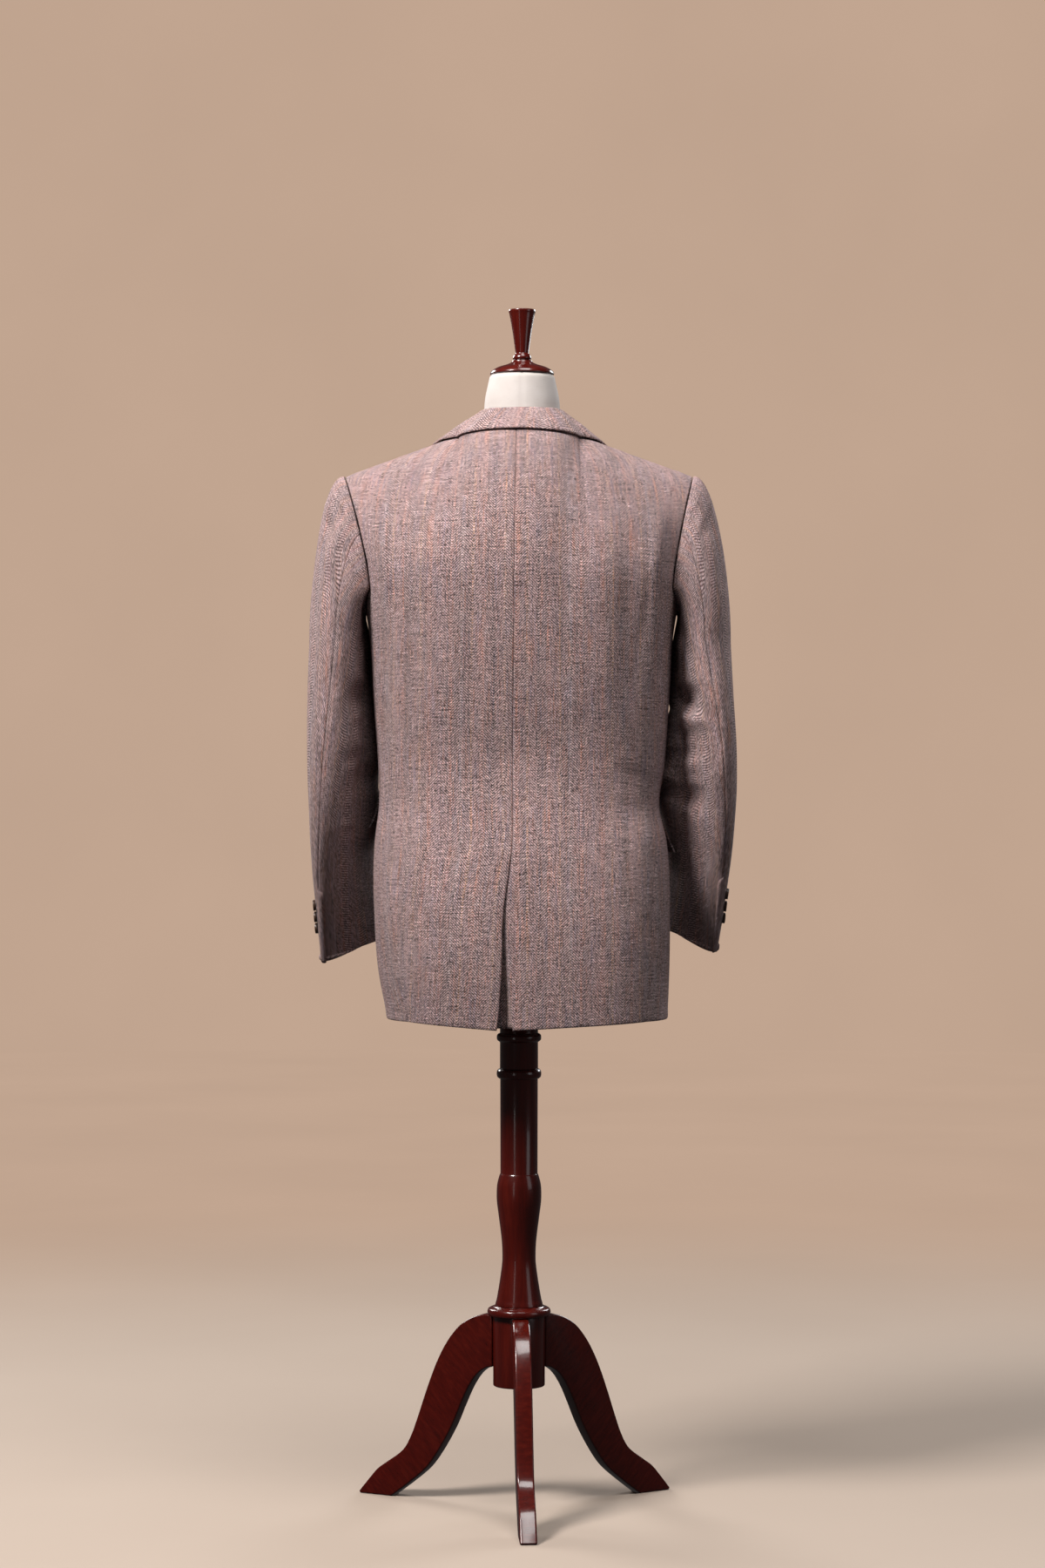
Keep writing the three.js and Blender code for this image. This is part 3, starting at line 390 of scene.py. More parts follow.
# Sleeve creases seen from behind: x, z, half length, half width, turn, depth
SLEEVE_CREASES = {
    LEFT: [
        (224, 1268, 42, 8, 62, -3.2), (236, 1262, 40, 7, 66, 2.6), (214, 1292, 22, 6, 40, -1.6),
        (196, 1120, 46, 9, -62, -2.0), (200, 1020, 40, 9, -40, 2.0), (194, 1000, 36, 8, -36, -2.2),
        (206, 955, 40, 9, -30, 1.7), (200, 930, 40, 9, -24, -1.8), (212, 880, 46, 9, -16, 1.5),
        (204, 850, 44, 9, -10, -1.5), (240, 940, 60, 16, 84, -1.4), (246, 1120, 90, 14, 88, 1.3),
        (216, 1180, 60, 10, 80, 1.4),
    ],
    RIGHT: [
        (-222, 1268, 34, 8, 118, -2.0), (-232, 1262, 34, 7, 116, 1.6), (-208, 1036, 44, 9, 26, -3.4),
        (-214, 1016, 44, 8, 22, 2.6), (-204, 996, 34, 8, 14, -1.8), (-206, 946, 44, 9, 32, 2.6),
        (-212, 918, 46, 9, 38, -3.2), (-222, 886, 48, 9, 42, 1.8), (-228, 850, 46, 9, 48, -1.5),
        (-214, 1110, 50, 10, 64, -2.2), (-220, 1170, 60, 9, 98, 1.5), (-246, 1080, 90, 14, 92, -1.2),
        (-250, 940, 60, 16, 96, 1.3),
    ],
}


ROUND_TO_FLAT, ROUND_START = 1.2, 600


def sleeve_extra(side, angle, point):
    """Folds, creases and unevenness of a sleeve, along its section's outward direction."""
    z = point[..., 2]
    behind = ease(0.0, 0.5, np.sin(np.radians(angle)))
    total = folds(SLEEVE_FOLDS[side], angle, z) + creases(SLEEVE_CREASES[side], point[..., 0], z) * behind
    mirrored = [(at_x, at_z - 8, long, wide, turn, depth * 0.8)
                for at_x, at_z, long, wide, turn, depth in SLEEVE_CREASES[side]]
    total = total + creases(mirrored, point[..., 0], z) * ease(0.0, 0.5, -np.sin(np.radians(angle)))
    return total + uneven("sleeve", angle * ROUND_TO_FLAT + ROUND_START, z, side)


def sleeve_point(side, along, angle, down):
    along, angle, down = np.broadcast_arrays(np.asarray(along, float), angle, down)
    low_z = mix(UPPER_RING, CUFF[side], np.clip(down - 1, 0, 1.05))
    low_plain = ring_point(side, angle, low_z)
    low = ring_point(side, angle, low_z, sleeve_extra(side, angle, low_plain))
    start = armhole(side, along)
    cosine, sine = np.cos(np.radians(angle)), np.sin(np.radians(angle))
    leave = points(side * (58 + 37 * cosine), 45 * sine, 14 + 6 * cosine - 54 * sine * sine)
    arrive = points(0 * cosine, 0 * cosine, -(125 + 70 * cosine))
    start = start + unit(leave) * (SEAM + 0.1)
    share = np.clip(down, 0, 1)[..., None]
    high = blend(start, leave, ring_point(side, angle, np.full_like(down, UPPER_RING)), arrive, share)
    swell = sleeve_extra(side, angle, high) * np.minimum(1, np.maximum(down, 0) * 4)
    high = high + points(side * cosine, sine, 0 * sine) * swell[..., None]
    return np.where((down > 1)[..., None], low, high)


def top_sleeve(side, across, down):
    early = HIND_ON_ARMHOLE * (1 - across / SHOULDER_ON_TOP)
    late = mix(3, FORE_ON_ARMHOLE, (across - SHOULDER_ON_TOP) / (1 - SHOULDER_ON_TOP))
    along = np.clip(np.where(across < SHOULDER_ON_TOP, early, late), 0, 3)
    return sleeve_point(side, along, mix(*TOP_ANGLES, across), down)


def under_sleeve(side, across, down):
    along = np.interp(across, *UNDER_STEPS)
    return sleeve_point(side, along, mix(*UNDER_ANGLES, across), down)


def new_mesh(name, verts, faces, uvs=None):
    """A smooth mesh object in the frame from places in millimetres from the column's axis."""
    mesh = bpy.data.meshes.new(name)
    mesh.from_pydata(((verts + AXIS) * MM).tolist(), [], faces)
    mesh.update()
    if uvs is not None:
        layer = mesh.uv_layers.new(name="cloth")
        index = np.zeros(len(mesh.loops), int)
        mesh.loops.foreach_get("vertex_index", index)
        layer.data.foreach_set("uv", (uvs[index] * MM).ravel())
    mesh.polygons.foreach_set("use_smooth", [True] * len(mesh.polygons))
    obj = bpy.data.objects.new(name, mesh)
    bpy.context.scene.collection.objects.link(obj)
    return obj


def lengths(place, axis=0):
    """Length along the columns or rows of a grid of places, from zero at the first one."""
    gaps = np.linalg.norm(np.diff(place, axis=axis), axis=-1)
    start = np.zeros_like(np.take(gaps, [0], axis=axis))
    return np.concatenate([start, np.cumsum(gaps, axis=axis)], axis=axis)


def edge_distance(place):
    """How far each grid point lies from the first and last column and row, along the cloth."""
    left, low = lengths(place, 1), lengths(place)
    return {"start": left, "end": left[:, -1:] - left, "bottom": low, "top": low[-1:] - low}


SEAM_ROUND = {"reach": 2.6, "depth": 1.0}
EDGE_ROUND = {"reach": 1.7, "depth": 0.75, "roll": 0.45, "roll_at": 4.5, "roll_reach": 9.0}
PUCKER = {"at": 5, "reach": 9, "depth": 0.35, "wave": 13.0}


def finish_edges(distance, kinds, seed):
    """Outer and inner moves near seams, which sink between panels, and near finished edges."""
    outer, inner = 0.0, 0.0
    for edge, kind in kinds.items():
        d = distance[edge]
        if kind == "seam":
            outer = outer - SEAM_ROUND["depth"] * np.clip(1 - d / SEAM_ROUND["reach"], 0, 1) ** 2
            along = distance["bottom" if edge in ("start", "end") else "start"]
            pucker = PUCKER["depth"] * ripple(along, 0 * along, PUCKER["wave"], seed)
            outer = outer + pucker * bump(d, PUCKER["at"], PUCKER["reach"])
        elif kind == "edge":
            fall = np.clip(1 - d / EDGE_ROUND["reach"], 0, 1) ** 2
            roll = EDGE_ROUND["roll"] * bump(d, EDGE_ROUND["roll_at"], EDGE_ROUND["roll_reach"])
            outer = outer - EDGE_ROUND["depth"] * fall + roll
            inner = inner + EDGE_ROUND["depth"] * fall
    return outer, inner


def shell(name, outer, inner, uv, sign):
    """A closed wall between two grids of points, its faces pointing out."""
    rows, cols = outer.shape[:2]
    index = np.arange(rows * cols).reshape(rows, cols)
    count = rows * cols
    quad = lambda g: np.stack([g[:-1, :-1], g[:-1, 1:], g[1:, 1:], g[1:, :-1]], axis=-1).reshape(-1, 4)
    front_faces, back_faces = quad(index), quad(index)[:, ::-1] + count
    strip = lambda line: np.stack([line[1:], line[:-1], line[:-1] + count, line[1:] + count], axis=-1)
    rim = [strip(index[0]), strip(index[-1, ::-1]), strip(index[::-1, 0]), strip(index[:, -1])]
    faces = np.concatenate([front_faces, back_faces, *rim])
    faces = faces if sign > 0 else faces[:, ::-1]
    verts = np.concatenate([outer.reshape(-1, 3), inner.reshape(-1, 3)])
    uvs = np.concatenate([uv.reshape(-1, 2)] * 2)
    return new_mesh(name, verts, faces.tolist(), uvs)


def level_arc(place):
    """The length along each horizontal section of a panel, from its first column."""
    x, y, z = (place[..., i] for i in range(3))
    levels = np.arange(z.min(), z.max() + 4, 4)
    columns = range(z.shape[1])
    at = lambda field: np.stack([np.interp(levels, z[:, c], field[:, c]) for c in columns], axis=1)
    section = np.stack([at(x), at(y)], axis=-1)
    return levels, section[..., 0], lengths(section, 1)


def body_uv(place, side, anchor, offset):
    """Weave coordinates of a back or front panel: straight up and down from an upright line."""
    levels, xs, arcs = level_arc(place)
    zero = np.array([np.interp(anchor, *sorted_pair(side * xs[i], arcs[i])) for i in range(len(levels))])
    columns = [np.interp(place[:, c, 2], levels, arcs[:, c] - zero) for c in range(place.shape[1])]
    upward = lengths(place[..., 1:]) + place[:1, :, 2]
    return np.stack([np.stack(columns, axis=1) + offset, upward], axis=-1)


def sorted_pair(keys, values):
    order = np.argsort(keys)
    return keys[order], values[order]


def own_uv(place, middle, offset=0.0):
    """Weave coordinates of a small piece, measured from its middle column."""
    arc = lengths(place, 1)
    return np.stack([arc - arc[:, middle:middle + 1] + offset, lengths(place)], axis=-1)


def spread_edges(count, width, fine=(0.0, 0.7, 1.5, 2.6, 4.5, 7.0)):
    """Shares from 0 to 1 for a piece of this width, closer together near both edges."""
    near = np.array(fine) / width
    middle = np.linspace(near[-1], 1 - near[-1], count)
    return np.concatenate([near[:-1], middle, (1 - near[:-1])[::-1]])


def cut_of(place):
    """Width, length and area of the flat cut of a grid of places, in metres."""
    over = np.linalg.norm(np.diff(place, axis=1), axis=-1).sum(axis=1)
    up = np.linalg.norm(np.diff(place, axis=0), axis=-1).sum(axis=0)
    one, two = place[1:, 1:] - place[:-1, :-1], place[1:, :-1] - place[:-1, 1:]
    area = np.linalg.norm(np.cross(one, two), axis=-1).sum() / 2
    width, length = over.max() * MM, up.max() * MM
    return width, length, min(area * MM * MM, width * length)


def dress(obj, place, material=None):
    """Lets a cloth piece stand for its node and gives it its cloth; its flat cut is measured but not kept.
    """
    width, length, area = cut_of(place)
    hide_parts(obj.name.removeprefix("cloth_"))
    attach(obj, "root")
    obj.data.materials.append(material or MATERIALS["tweed"])


def wall(name, surface, sign, across, rows, kinds, uv_of, lift=None, remap=None, seed=1):
    """One panel of cloth: a fine grid on its surface, rounded at its edges, with the weave's places."""
    a, b = np.meshgrid(across, rows)
    if remap:
        a, b = remap(a, b)
    place = surface(a, b)
    normal = normal_of(surface, a, b, sign)
    base = lift(a, b) if lift else 0.0
    distance = edge_distance(place)
    moved = place.copy()
    for last, inward in ((0, 1), (-1, -2)):
        moved[last] += unit(place[inward] - place[last]) * SEAM / 2
    for last, inward in ((0, 1), (-1, -2)):
        moved[:, last] += unit(place[:, inward] - place[:, last]) * SEAM / 2
    outer_move, inner_move = finish_edges(distance, kinds, seed)
    top = base if not lift else base + CLOTH
    outer = moved + normal * (top + outer_move + np.zeros(a.shape))[..., None]
    inner = moved + normal * (top - CLOTH + inner_move + np.zeros(a.shape))[..., None]
    own_threads = [seed * HERRINGBONE * CHART_REPEATS / MM, 0]
    obj = shell("cloth_" + name, outer, inner, uv_of(place) + own_threads, sign)
    dress(obj, place)
    return obj


def front_edge(row):
    return FRONT_EDGE("across", row)


EDGES_AND_SEAMS = {"start": "seam", "end": "seam", "bottom": "edge", "top": "seam"}
ALL_EDGES = dict.fromkeys(("start", "end", "bottom", "top"), "edge")
NEAR_NECK = np.array([6.0, 3.5, 2, 1, 0]) / 260


def panel_rows(length):
    """Rows from the hem at 0 to the underarm at 1 and the neck at 2, closer at both ends."""
    return np.concatenate([spread_edges(124, length)[:-5], np.linspace(1, 2, 60)[1:-3], 2 - NEAR_NECK])


def back_panel(side):
    offset = {LEFT: 2.0, RIGHT: 3.0}[side]
    wall(f"back_{NAME[side]}", lambda a, b: back(side, a, b), -side, spread_edges(58, 240),
         panel_rows(555), EDGES_AND_SEAMS, lambda p: body_uv(p, side, 0.0, offset),
         seed=21 + side)


def side_body(side):
    wall(f"side_{NAME[side]}", lambda a, b: side_panel(side, a, b), -side, spread_edges(40, 190),
         spread_edges(124, 540), EDGES_AND_SEAMS, lambda p: own_uv(p, 25, 40),
         seed=23 + side)


LAP_FROM = {"across": 0.8, "wide": 0.13, "row": 0.75, "tall": 0.25}


def lap(side, across, row):
    near = np.clip((across - LAP_FROM["across"]) / LAP_FROM["wide"], 0, 1)
    below = np.clip((LAP_FROM["row"] + LAP_FROM["tall"] - row) / LAP_FROM["tall"], 0, 1)
    return side * CF_LAP * near * near * (3 - 2 * near) * below


def front_panel(side):
    plain = lambda a, b: front_plain(side, a, b)
    def surface(a, b):
        return front(side, a, b) + normal_of(plain, a, b, -side) * lap(side, a, b)[..., None]
    wall(f"front_{NAME[side]}", surface, -side, spread_edges(66, 280), panel_rows(550),
         {**EDGES_AND_SEAMS, "end": "edge"}, lambda p: body_uv(p, side, 80.0, 7.0),
         remap=lambda a, b: (a * front_edge(b), b), seed=25 + side)


UNDERLAP = {"width": 46, "deep_top": 4, "deep_hem": 13, "near": 0.08, "fold": 5, "below": 4, "above": 2}


def vent_underlap():
    def surface(x, z):
        down = (VENT_TOP - z) / (VENT_TOP - HEM_BACK)
        start = SECTIONS("edge_right", z) - 1
        over = start + x * UNDERLAP["width"] - SECTIONS("sway", z)
        angle = np.degrees(np.arctan2(over, SECTIONS("back", z)))
        turned_in = np.minimum(1, UNDERLAP["near"] + x * UNDERLAP["fold"])
        point = tube(angle, z)
        point[..., 1] -= mix(UNDERLAP["deep_top"], UNDERLAP["deep_hem"], down) * turned_in + CLOTH
        return point
    rows = np.linspace(HEM_BACK + UNDERLAP["above"], VENT_TOP - UNDERLAP["below"], 60)
    kinds = {"start": "plain", "end": "edge", "bottom": "edge", "top": "edge"}
    wall("vent_underlap", surface, -1, np.linspace(0, 1, 28), rows, kinds,
         lambda p: own_uv(p, 0, 5) + np.array([0, HEM_BACK]))


LAPEL_WIDTH = Table("row width", [
    (0.585, 0.01), (0.65, 0.09), (0.75, 0.17), (0.88, 0.25), (1, 0.31), (1.25, 0.38), (1.45, 0.42),
    (1.69, 0.42),
])
LAPEL = {"start": {LEFT: 0.6, RIGHT: 0.69}, "top": 1.668, "slant": 0.14, "slant_from": 0.5}
LAPEL_ROLL = {"past": 0.012, "clear": 0.03, "wide": 0.07, "lift": 2.2}


def lapel(side):
    def remap(t, row):
        edge = front_edge(row)
        past = edge + LAPEL_ROLL["past"]
        inner = past if side > 0 else np.minimum(past, 2 - edge - LAPEL_ROLL["clear"])
        slant = LAPEL["slant"] * t * bump(row, LAPEL["top"], LAPEL["slant_from"])
        return mix(inner, edge - LAPEL_WIDTH("width", row), t), row - slant
    def lift(across, row):
        roll = bump(across, front_edge(row), LAPEL_ROLL["wide"])
        return np.maximum(0, lap(side, across, row)) + SETTLED + LAPEL_ROLL["lift"] * roll
    wall(f"lapel_{NAME[side]}", lambda a, b: front(side, a, b), -side, spread_edges(34, 90),
         np.linspace(LAPEL["start"][side], LAPEL["top"], 110), ALL_EDGES, lambda p: own_uv(p, 0, 9),
         lift=lift, remap=remap, seed=27 + side)


FLAP = {
    LEFT: {"top": 921, "bottom": 872, "from": 98, "to": 139},
    RIGHT: {"top": 889, "bottom": 840, "from": 98, "to": 139},
}
FLAP_LIFT = {"rear": 9, "fore": 2}


def pocket_flap(side):
    flap = FLAP[side]
    def lift(angle, z):
        down = (flap["top"] - z) / (flap["top"] - flap["bottom"])
        rear = (flap["to"] - angle) / (flap["to"] - flap["from"])
        return SETTLED + mix(FLAP_LIFT["fore"], FLAP_LIFT["rear"], rear) * down * down
    rows = flap["bottom"] + spread_edges(14, 49) * (flap["top"] - flap["bottom"])
    wall(f"pocket_flap_{NAME[side]}", lambda angle, z: tube(side * angle, z), -side, spread_edges(38, 145),
         rows, ALL_EDGES, lambda p: own_uv(p, 20, 18),
         lift=lift, remap=lambda t, z: (mix(flap["from"], flap["to"], t), z))


VENT_CUFF = {"tall": 100.0, "rise": 7, "lap": 0.075, "lift": 2.35}
NEAR_ARMHOLE = np.array([0, 0.8, 1.8, 3.2, 5.5]) / 200
NEAR_CUFF = np.array([4.5, 2.6, 1.5, 0.7, 0])


def sleeve(side):
    length = UPPER_RING - CUFF[side]
    rows = np.concatenate([NEAR_ARMHOLE, np.linspace(0.04, 1, 46), 1 + spread_edges(104, length)[1:-5],
                           2 - NEAR_CUFF / length])
    top = VENT_CUFF["tall"]
    vent = lambda down: ease(2 - top / length, 2 - (top - VENT_CUFF["rise"]) / length, down)
    def open_edge(a, down):
        return a - VENT_CUFF["lap"] * vent(down) * (1 - a) ** 6, down
    def lifted(a, down):
        point = top_sleeve(side, a, down)
        normal = normal_of(lambda p, q: top_sleeve(side, p, q), a, down, side)
        return point + normal * (VENT_CUFF["lift"] * vent(down) * (1 - ease(-0.03, 0.05, a)))[..., None]
    kinds = {"start": "seam", "end": "seam", "bottom": "seam", "top": "edge"}
    wall(f"top_sleeve_{NAME[side]}", lifted, side, spread_edges(64, 255), rows, kinds,
         lambda p: own_uv(p, 34, 14) * [1, -1] + [0, 900], remap=open_edge, seed=31 + side)
    wall(f"under_sleeve_{NAME[side]}", lambda a, b: under_sleeve(side, a, b), -side, spread_edges(52, 210),
         rows, kinds, lambda p: own_uv(p, 30, 6) * [1, -1] + [0, 900], seed=33 + side)


COLLAR_FOLD = Table("along x y z", [
    (0, 2, 49, 1409), (0.25, 38, 36, 1409), (0.4, 50, 17, 1408.5), (0.5, 54, 0, 1407),
    (0.62, 57, -24, 1399), (0.75, 61.5, -46, 1381), (0.88, 64, -66, 1361), (1, 64, -81, 1342),
])
LEAF_ON_BACK = Table("along across row lift", [
    (0, 0, 1.905, 3.6), (0.17, 0.17, 1.88, 3.4), (0.3, 0.34, 1.86, 3.2), (0.42, 0.5, 1.89, 2.9),
    (0.5, 0.56, 2, 2.6),
])
LEAF_ON_FRONT = Table("along across row lift", [
    (0.5, 0.45, 2, 2.6), (0.62, 0.4, 1.88, 2.8), (0.75, 0.365, 1.78, 2.8), (0.88, 0.37, 1.68, 2.8),
    (1, 0.4, 1.6, 2.8),
])
COLLAR_END_ROW = 1.7
COLLAR_WALL = 2.2
COLLAR_LEAN = -4.0
COLLAR_SEED = 41
COLLAR_OFF_NECK = {"back": 1.9, "front": 1.5, "past": 0.008}
COLLAR_GRID = {"stations": 72, "round": 40, "fold": 20, "pattern_start": 3.5}
COLLAR_ROUND = {"most": 3.0, "share": 0.25, "inner": 0.8, "crown": 0.7}


def above(surface, a, b, sign, lift):
    return surface(a, b) + normal_of(surface, a, b, sign) * np.asarray(lift)[..., None]


def collar_profile(side, along):
    """Seven points of the collar's section at a place along the neck: foot, stand, fold and leaf."""
    behind = lambda a, r: back_plain(side, a, r)
    before = lambda a, r: front_plain(side, a, r)
    if along < 0.5:
        foot = back_top(side, np.array(NECK_ON_BACK * along * 2)) + [0, 0, COLLAR_OFF_NECK["back"]]
        leaf, surface = LEAF_ON_BACK, behind
    else:
        row = mix(2, COLLAR_END_ROW, (along - 0.5) * 2)
        across = front_edge(row) + COLLAR_OFF_NECK["past"] * (along - 0.5) * 2
        foot = above(before, np.array(across), np.array(row), -side, COLLAR_OFF_NECK["front"])
        leaf, surface = LEAF_ON_FRONT, before
    edge = above(surface, leaf("across", along), leaf("row", along), -side, leaf("lift", along))
    lean = COLLAR_LEAN * min(1, 2 - 2 * along)
    fold = points(side * COLLAR_FOLD("x", along) + lean, COLLAR_FOLD("y", along), COLLAR_FOLD("z", along))
    up = np.array([0, 0, 1.0])
    out = unit((edge - foot) * [1, 1, 0])
    turn = min(COLLAR_ROUND["most"], np.linalg.norm(fold - foot) * COLLAR_ROUND["share"])
    inside = fold - out * turn * COLLAR_ROUND["inner"] - up * turn
    outside = fold + out * turn - up * turn * COLLAR_ROUND["inner"]
    crown = (outside + edge) / 2 + up * turn * COLLAR_ROUND["crown"]
    return np.array([foot, (foot + inside) / 2, inside, fold, outside, crown, edge])


def through(line, count):
    """A smooth run of places through a few of them, evenly spread along its length."""
    keys = lengths(line)
    table = Table("at x y z", np.column_stack([keys, line]).tolist())
    at = np.linspace(0, keys[-1], count)
    fine = points(table("x", at), table("y", at), table("z", at))
    length = lengths(fine)
    even = np.linspace(0, length[-1], count)
    return np.stack([np.interp(even, length, fine[:, i]) for i in range(3)], axis=-1)


def collar():
    stations = np.linspace(0, 1, COLLAR_GRID["stations"])
    section = lambda side, along: through(collar_profile(side, along), COLLAR_GRID["round"])
    half = [[section(side, along) for along in stations] for side in (RIGHT, LEFT)]
    place = np.array(half[0][::-1] + half[1][1:])
    for _ in range(2):
        place[1:-1] = (place[:-2] + 2 * place[1:-1] + place[2:]) / 4
    normal = unit(np.cross(np.gradient(place, axis=0), np.gradient(place, axis=1)))
    distance = edge_distance(place)
    free = dict.fromkeys(("end", "bottom", "top"), "edge")
    outer_move, inner_move = finish_edges(distance, free, COLLAR_SEED)
    thick = COLLAR_WALL / 2
    outer = place + normal * (thick + outer_move)[..., None]
    inner = place - normal * (thick - inner_move)[..., None]
    arc = lengths(place[:, COLLAR_GRID["fold"]])
    round_neck = (arc[COLLAR_GRID["stations"] - 1] - arc)[:, None] + COLLAR_GRID["pattern_start"]
    uv = np.stack([np.broadcast_to(round_neck, distance["start"].shape), -distance["start"]], axis=-1)
    obj = shell("cloth_collar", outer, inner, uv, -1)
    dress(obj, place)


# Form: how far it lies inside the cloth's outer surface at each row
FORM_INSET = Table("row inset", [
    (0.09, 24), (0.18, 17), (0.3, 16), (0.5, 24), (0.7, 16), (0.9, 9), (1, 8), (1.3, 8), (1.6, 6.5),
    (1.85, 4.4), (2, 3.4),
])
SHOULDER_SEAT = 2.8
FORM_BOTTOM_ROW, FORM_BOTTOM_Z = 0.09, 674.0
NECK_RINGS = Table("z x y", [
    (1391, 53, 47), (1404, 49.4, 43.5), (1425, 47.6, 43), (1449, 42.6, 41.6), (1452.5, 41.8, 40.8),
    (1455.4, 39.6, 38.6),
])
NECK_LEAN = -4.0
NECK_SUNK, NECK_FLARE = 19, 0.25
NECK_SEAM = {"depth": 0.7, "wide": 0.028}


def form_point(surface, side, across, row, sits):
    inset = FORM_INSET("inset", row)
    plain = surface(side, across, row)
    inward = plain - normal_of(lambda a, r: surface(side, a, r), across, row, -side) * inset[..., None]
    seated = plain - [0, 0, SHOULDER_SEAT]
    return np.where(((row >= 2) & sits)[..., None], seated, inward)


def form_half(side, row):
    """Half a ring of the form: across the back, the arm plate and the front."""
    behind = np.concatenate([np.linspace(0, NECK_ON_BACK, 13), np.linspace(NECK_ON_BACK, 1, 13)[1:]])
    before = np.concatenate([np.linspace(0, NECK_ON_FRONT, 13), np.linspace(NECK_ON_FRONT, 1, 13)[1:]])
    level = lambda s, z: edge_angle(LEFT, SCYE) + 0 * z
    closed_back = lambda s, a, r: back_plain(s, a, r, level)
    rear = form_point(closed_back, side, behind, np.full_like(behind, row), behind >= NECK_ON_BACK)
    fore = form_point(front_plain, side, before, np.full_like(before, row), before <= NECK_ON_FRONT)
    share = np.linspace(0, 1, 12)[1:-1]
    plate = form_point(side_panel_plain, side, share, np.full_like(share, min(row, 1)), share < 0)
    if row > 1:
        corners = np.array([0.0, 1.0])
        ends = form_point(side_panel_plain, side, corners, np.ones(2), corners < 0)
        droop = (plate - mix(ends[0], ends[1], share[:, None])) * (2 - row) ** 2
        plate = mix(rear[-1], fore[0], share[:, None]) + droop
    return np.concatenate([rear, plate, fore])


def form_ring(row):
    left, right = form_half(LEFT, row), form_half(RIGHT, row)[::-1]
    return np.concatenate([left, right[1:-1]])


def dress_form():
    low = np.linspace(FORM_BOTTOM_ROW, 0.18, 5)
    rings = [form_ring(row) for row in np.concatenate([low, np.linspace(0.2, 1.94, 60), [1.97, 1.99, 2.0]])]
    rings[0][:, 2] = FORM_BOTTOM_Z
    centre = np.array([0, 0, FORM_BOTTOM_Z])
    base = [centre + (rings[0] - centre) * share for share in (0.02, 0.5, 0.9, 0.975)]
    rings[0] = centre + (rings[0] - centre) * [0.995, 0.995, 1]
    body = np.array(base + rings)
    torso = loft("form_body", body)
    neck_rings = []
    turn = np.linspace(0, 2 * np.pi, 97)[:-1]
    groove = NECK_SEAM["depth"] * bump(np.minimum(turn, 2 * np.pi - turn), 0, NECK_SEAM["wide"])
    foot, top = NECK_RINGS.keys[[0, -1]]
    for z in np.linspace(foot - NECK_SUNK, top, 34):
        at = max(z, foot)
        flare = max(0.0, foot - z) * NECK_FLARE
        x = NECK_LEAN + (NECK_RINGS("x", at) + flare - groove) * np.sin(turn)
        neck_rings.append(points(x, (NECK_RINGS("y", at) + flare - groove) * np.cos(turn), z))
    neck = loft("form_neck", np.array(neck_rings))
    for obj in (torso, neck):
        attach(obj, "root")
        obj.data.materials.append(MATERIALS["form_cover"])
    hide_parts("dress_form")


def loft(name, rings):
    """A closed skin over a stack of rings that run the same way round."""
    count, around = rings.shape[:2]
    index = np.arange(count * around).reshape(count, around)
    wrapped = np.concatenate([index, index[:, :1]], axis=1)
    corners = (wrapped[:-1, :-1], wrapped[1:, :-1], wrapped[1:, 1:], wrapped[:-1, 1:])
    quads = np.stack(corners, axis=-1).reshape(-1, 4)
    faces = quads.tolist() + [index[0].tolist(), index[-1, ::-1].tolist()]
    obj = new_mesh(name, rings.reshape(-1, 3), faces)
    select_only(obj)
    bpy.ops.object.mode_set(mode="EDIT")
    bpy.ops.mesh.select_all(action="SELECT")
    bpy.ops.mesh.remove_doubles(threshold=0.00002)
    bpy.ops.mesh.normals_make_consistent(inside=False)
    bpy.ops.object.mode_set(mode="OBJECT")
    return obj


def select_only(obj):
    bpy.ops.object.select_all(action="DESELECT")
    obj.select_set(True)
    bpy.context.view_layer.objects.active = obj


def leave_edit():
    bpy.ops.object.mode_set(mode="OBJECT")


def apply_modifiers(obj):
    select_only(obj)
    for modifier in list(obj.modifiers):
        bpy.ops.object.modifier_apply(modifier=modifier.name)


def outline_object(name, start, steps):
    """One point, drawn on by extruding it along the steps, as a chain of edges."""
    bpy.ops.object.select_all(action="DESELECT")
    bpy.ops.mesh.primitive_plane_add(size=0.001, location=start)
    obj = bpy.context.object
    obj.name = name
    obj.data.name = name
    bpy.ops.object.mode_set(mode="EDIT")
    bpy.ops.mesh.select_mode(type="VERT")
    bpy.ops.mesh.select_all(action="SELECT")
    bpy.ops.mesh.merge(type="CENTER")
    for step in steps:
        bpy.ops.mesh.extrude_region_move(TRANSFORM_OT_translate={"value": step})
    return obj


def steps_of(line):
    return [tuple(b - a for a, b in zip(p, q)) for p, q in zip(line[:-1], line[1:])]


def smooth_profile(parts, fine=6):
    """Radius and height pairs: each part is a run of corners, or a curve through its points."""
    line = []
    for kind, run in parts:
        if kind == "curve":
            keys = list(range(len(run)))
            table = Table("at r z", [(k, r, z) for k, (r, z) in zip(keys, run)])
            at = np.linspace(0, len(run) - 1, (len(run) - 1) * fine + 1)
            run = list(zip(table("r", at).tolist(), table("z", at).tolist()))
        line += [p for p in run if not line or math.dist(p, line[-1]) > 0.01]
    return line


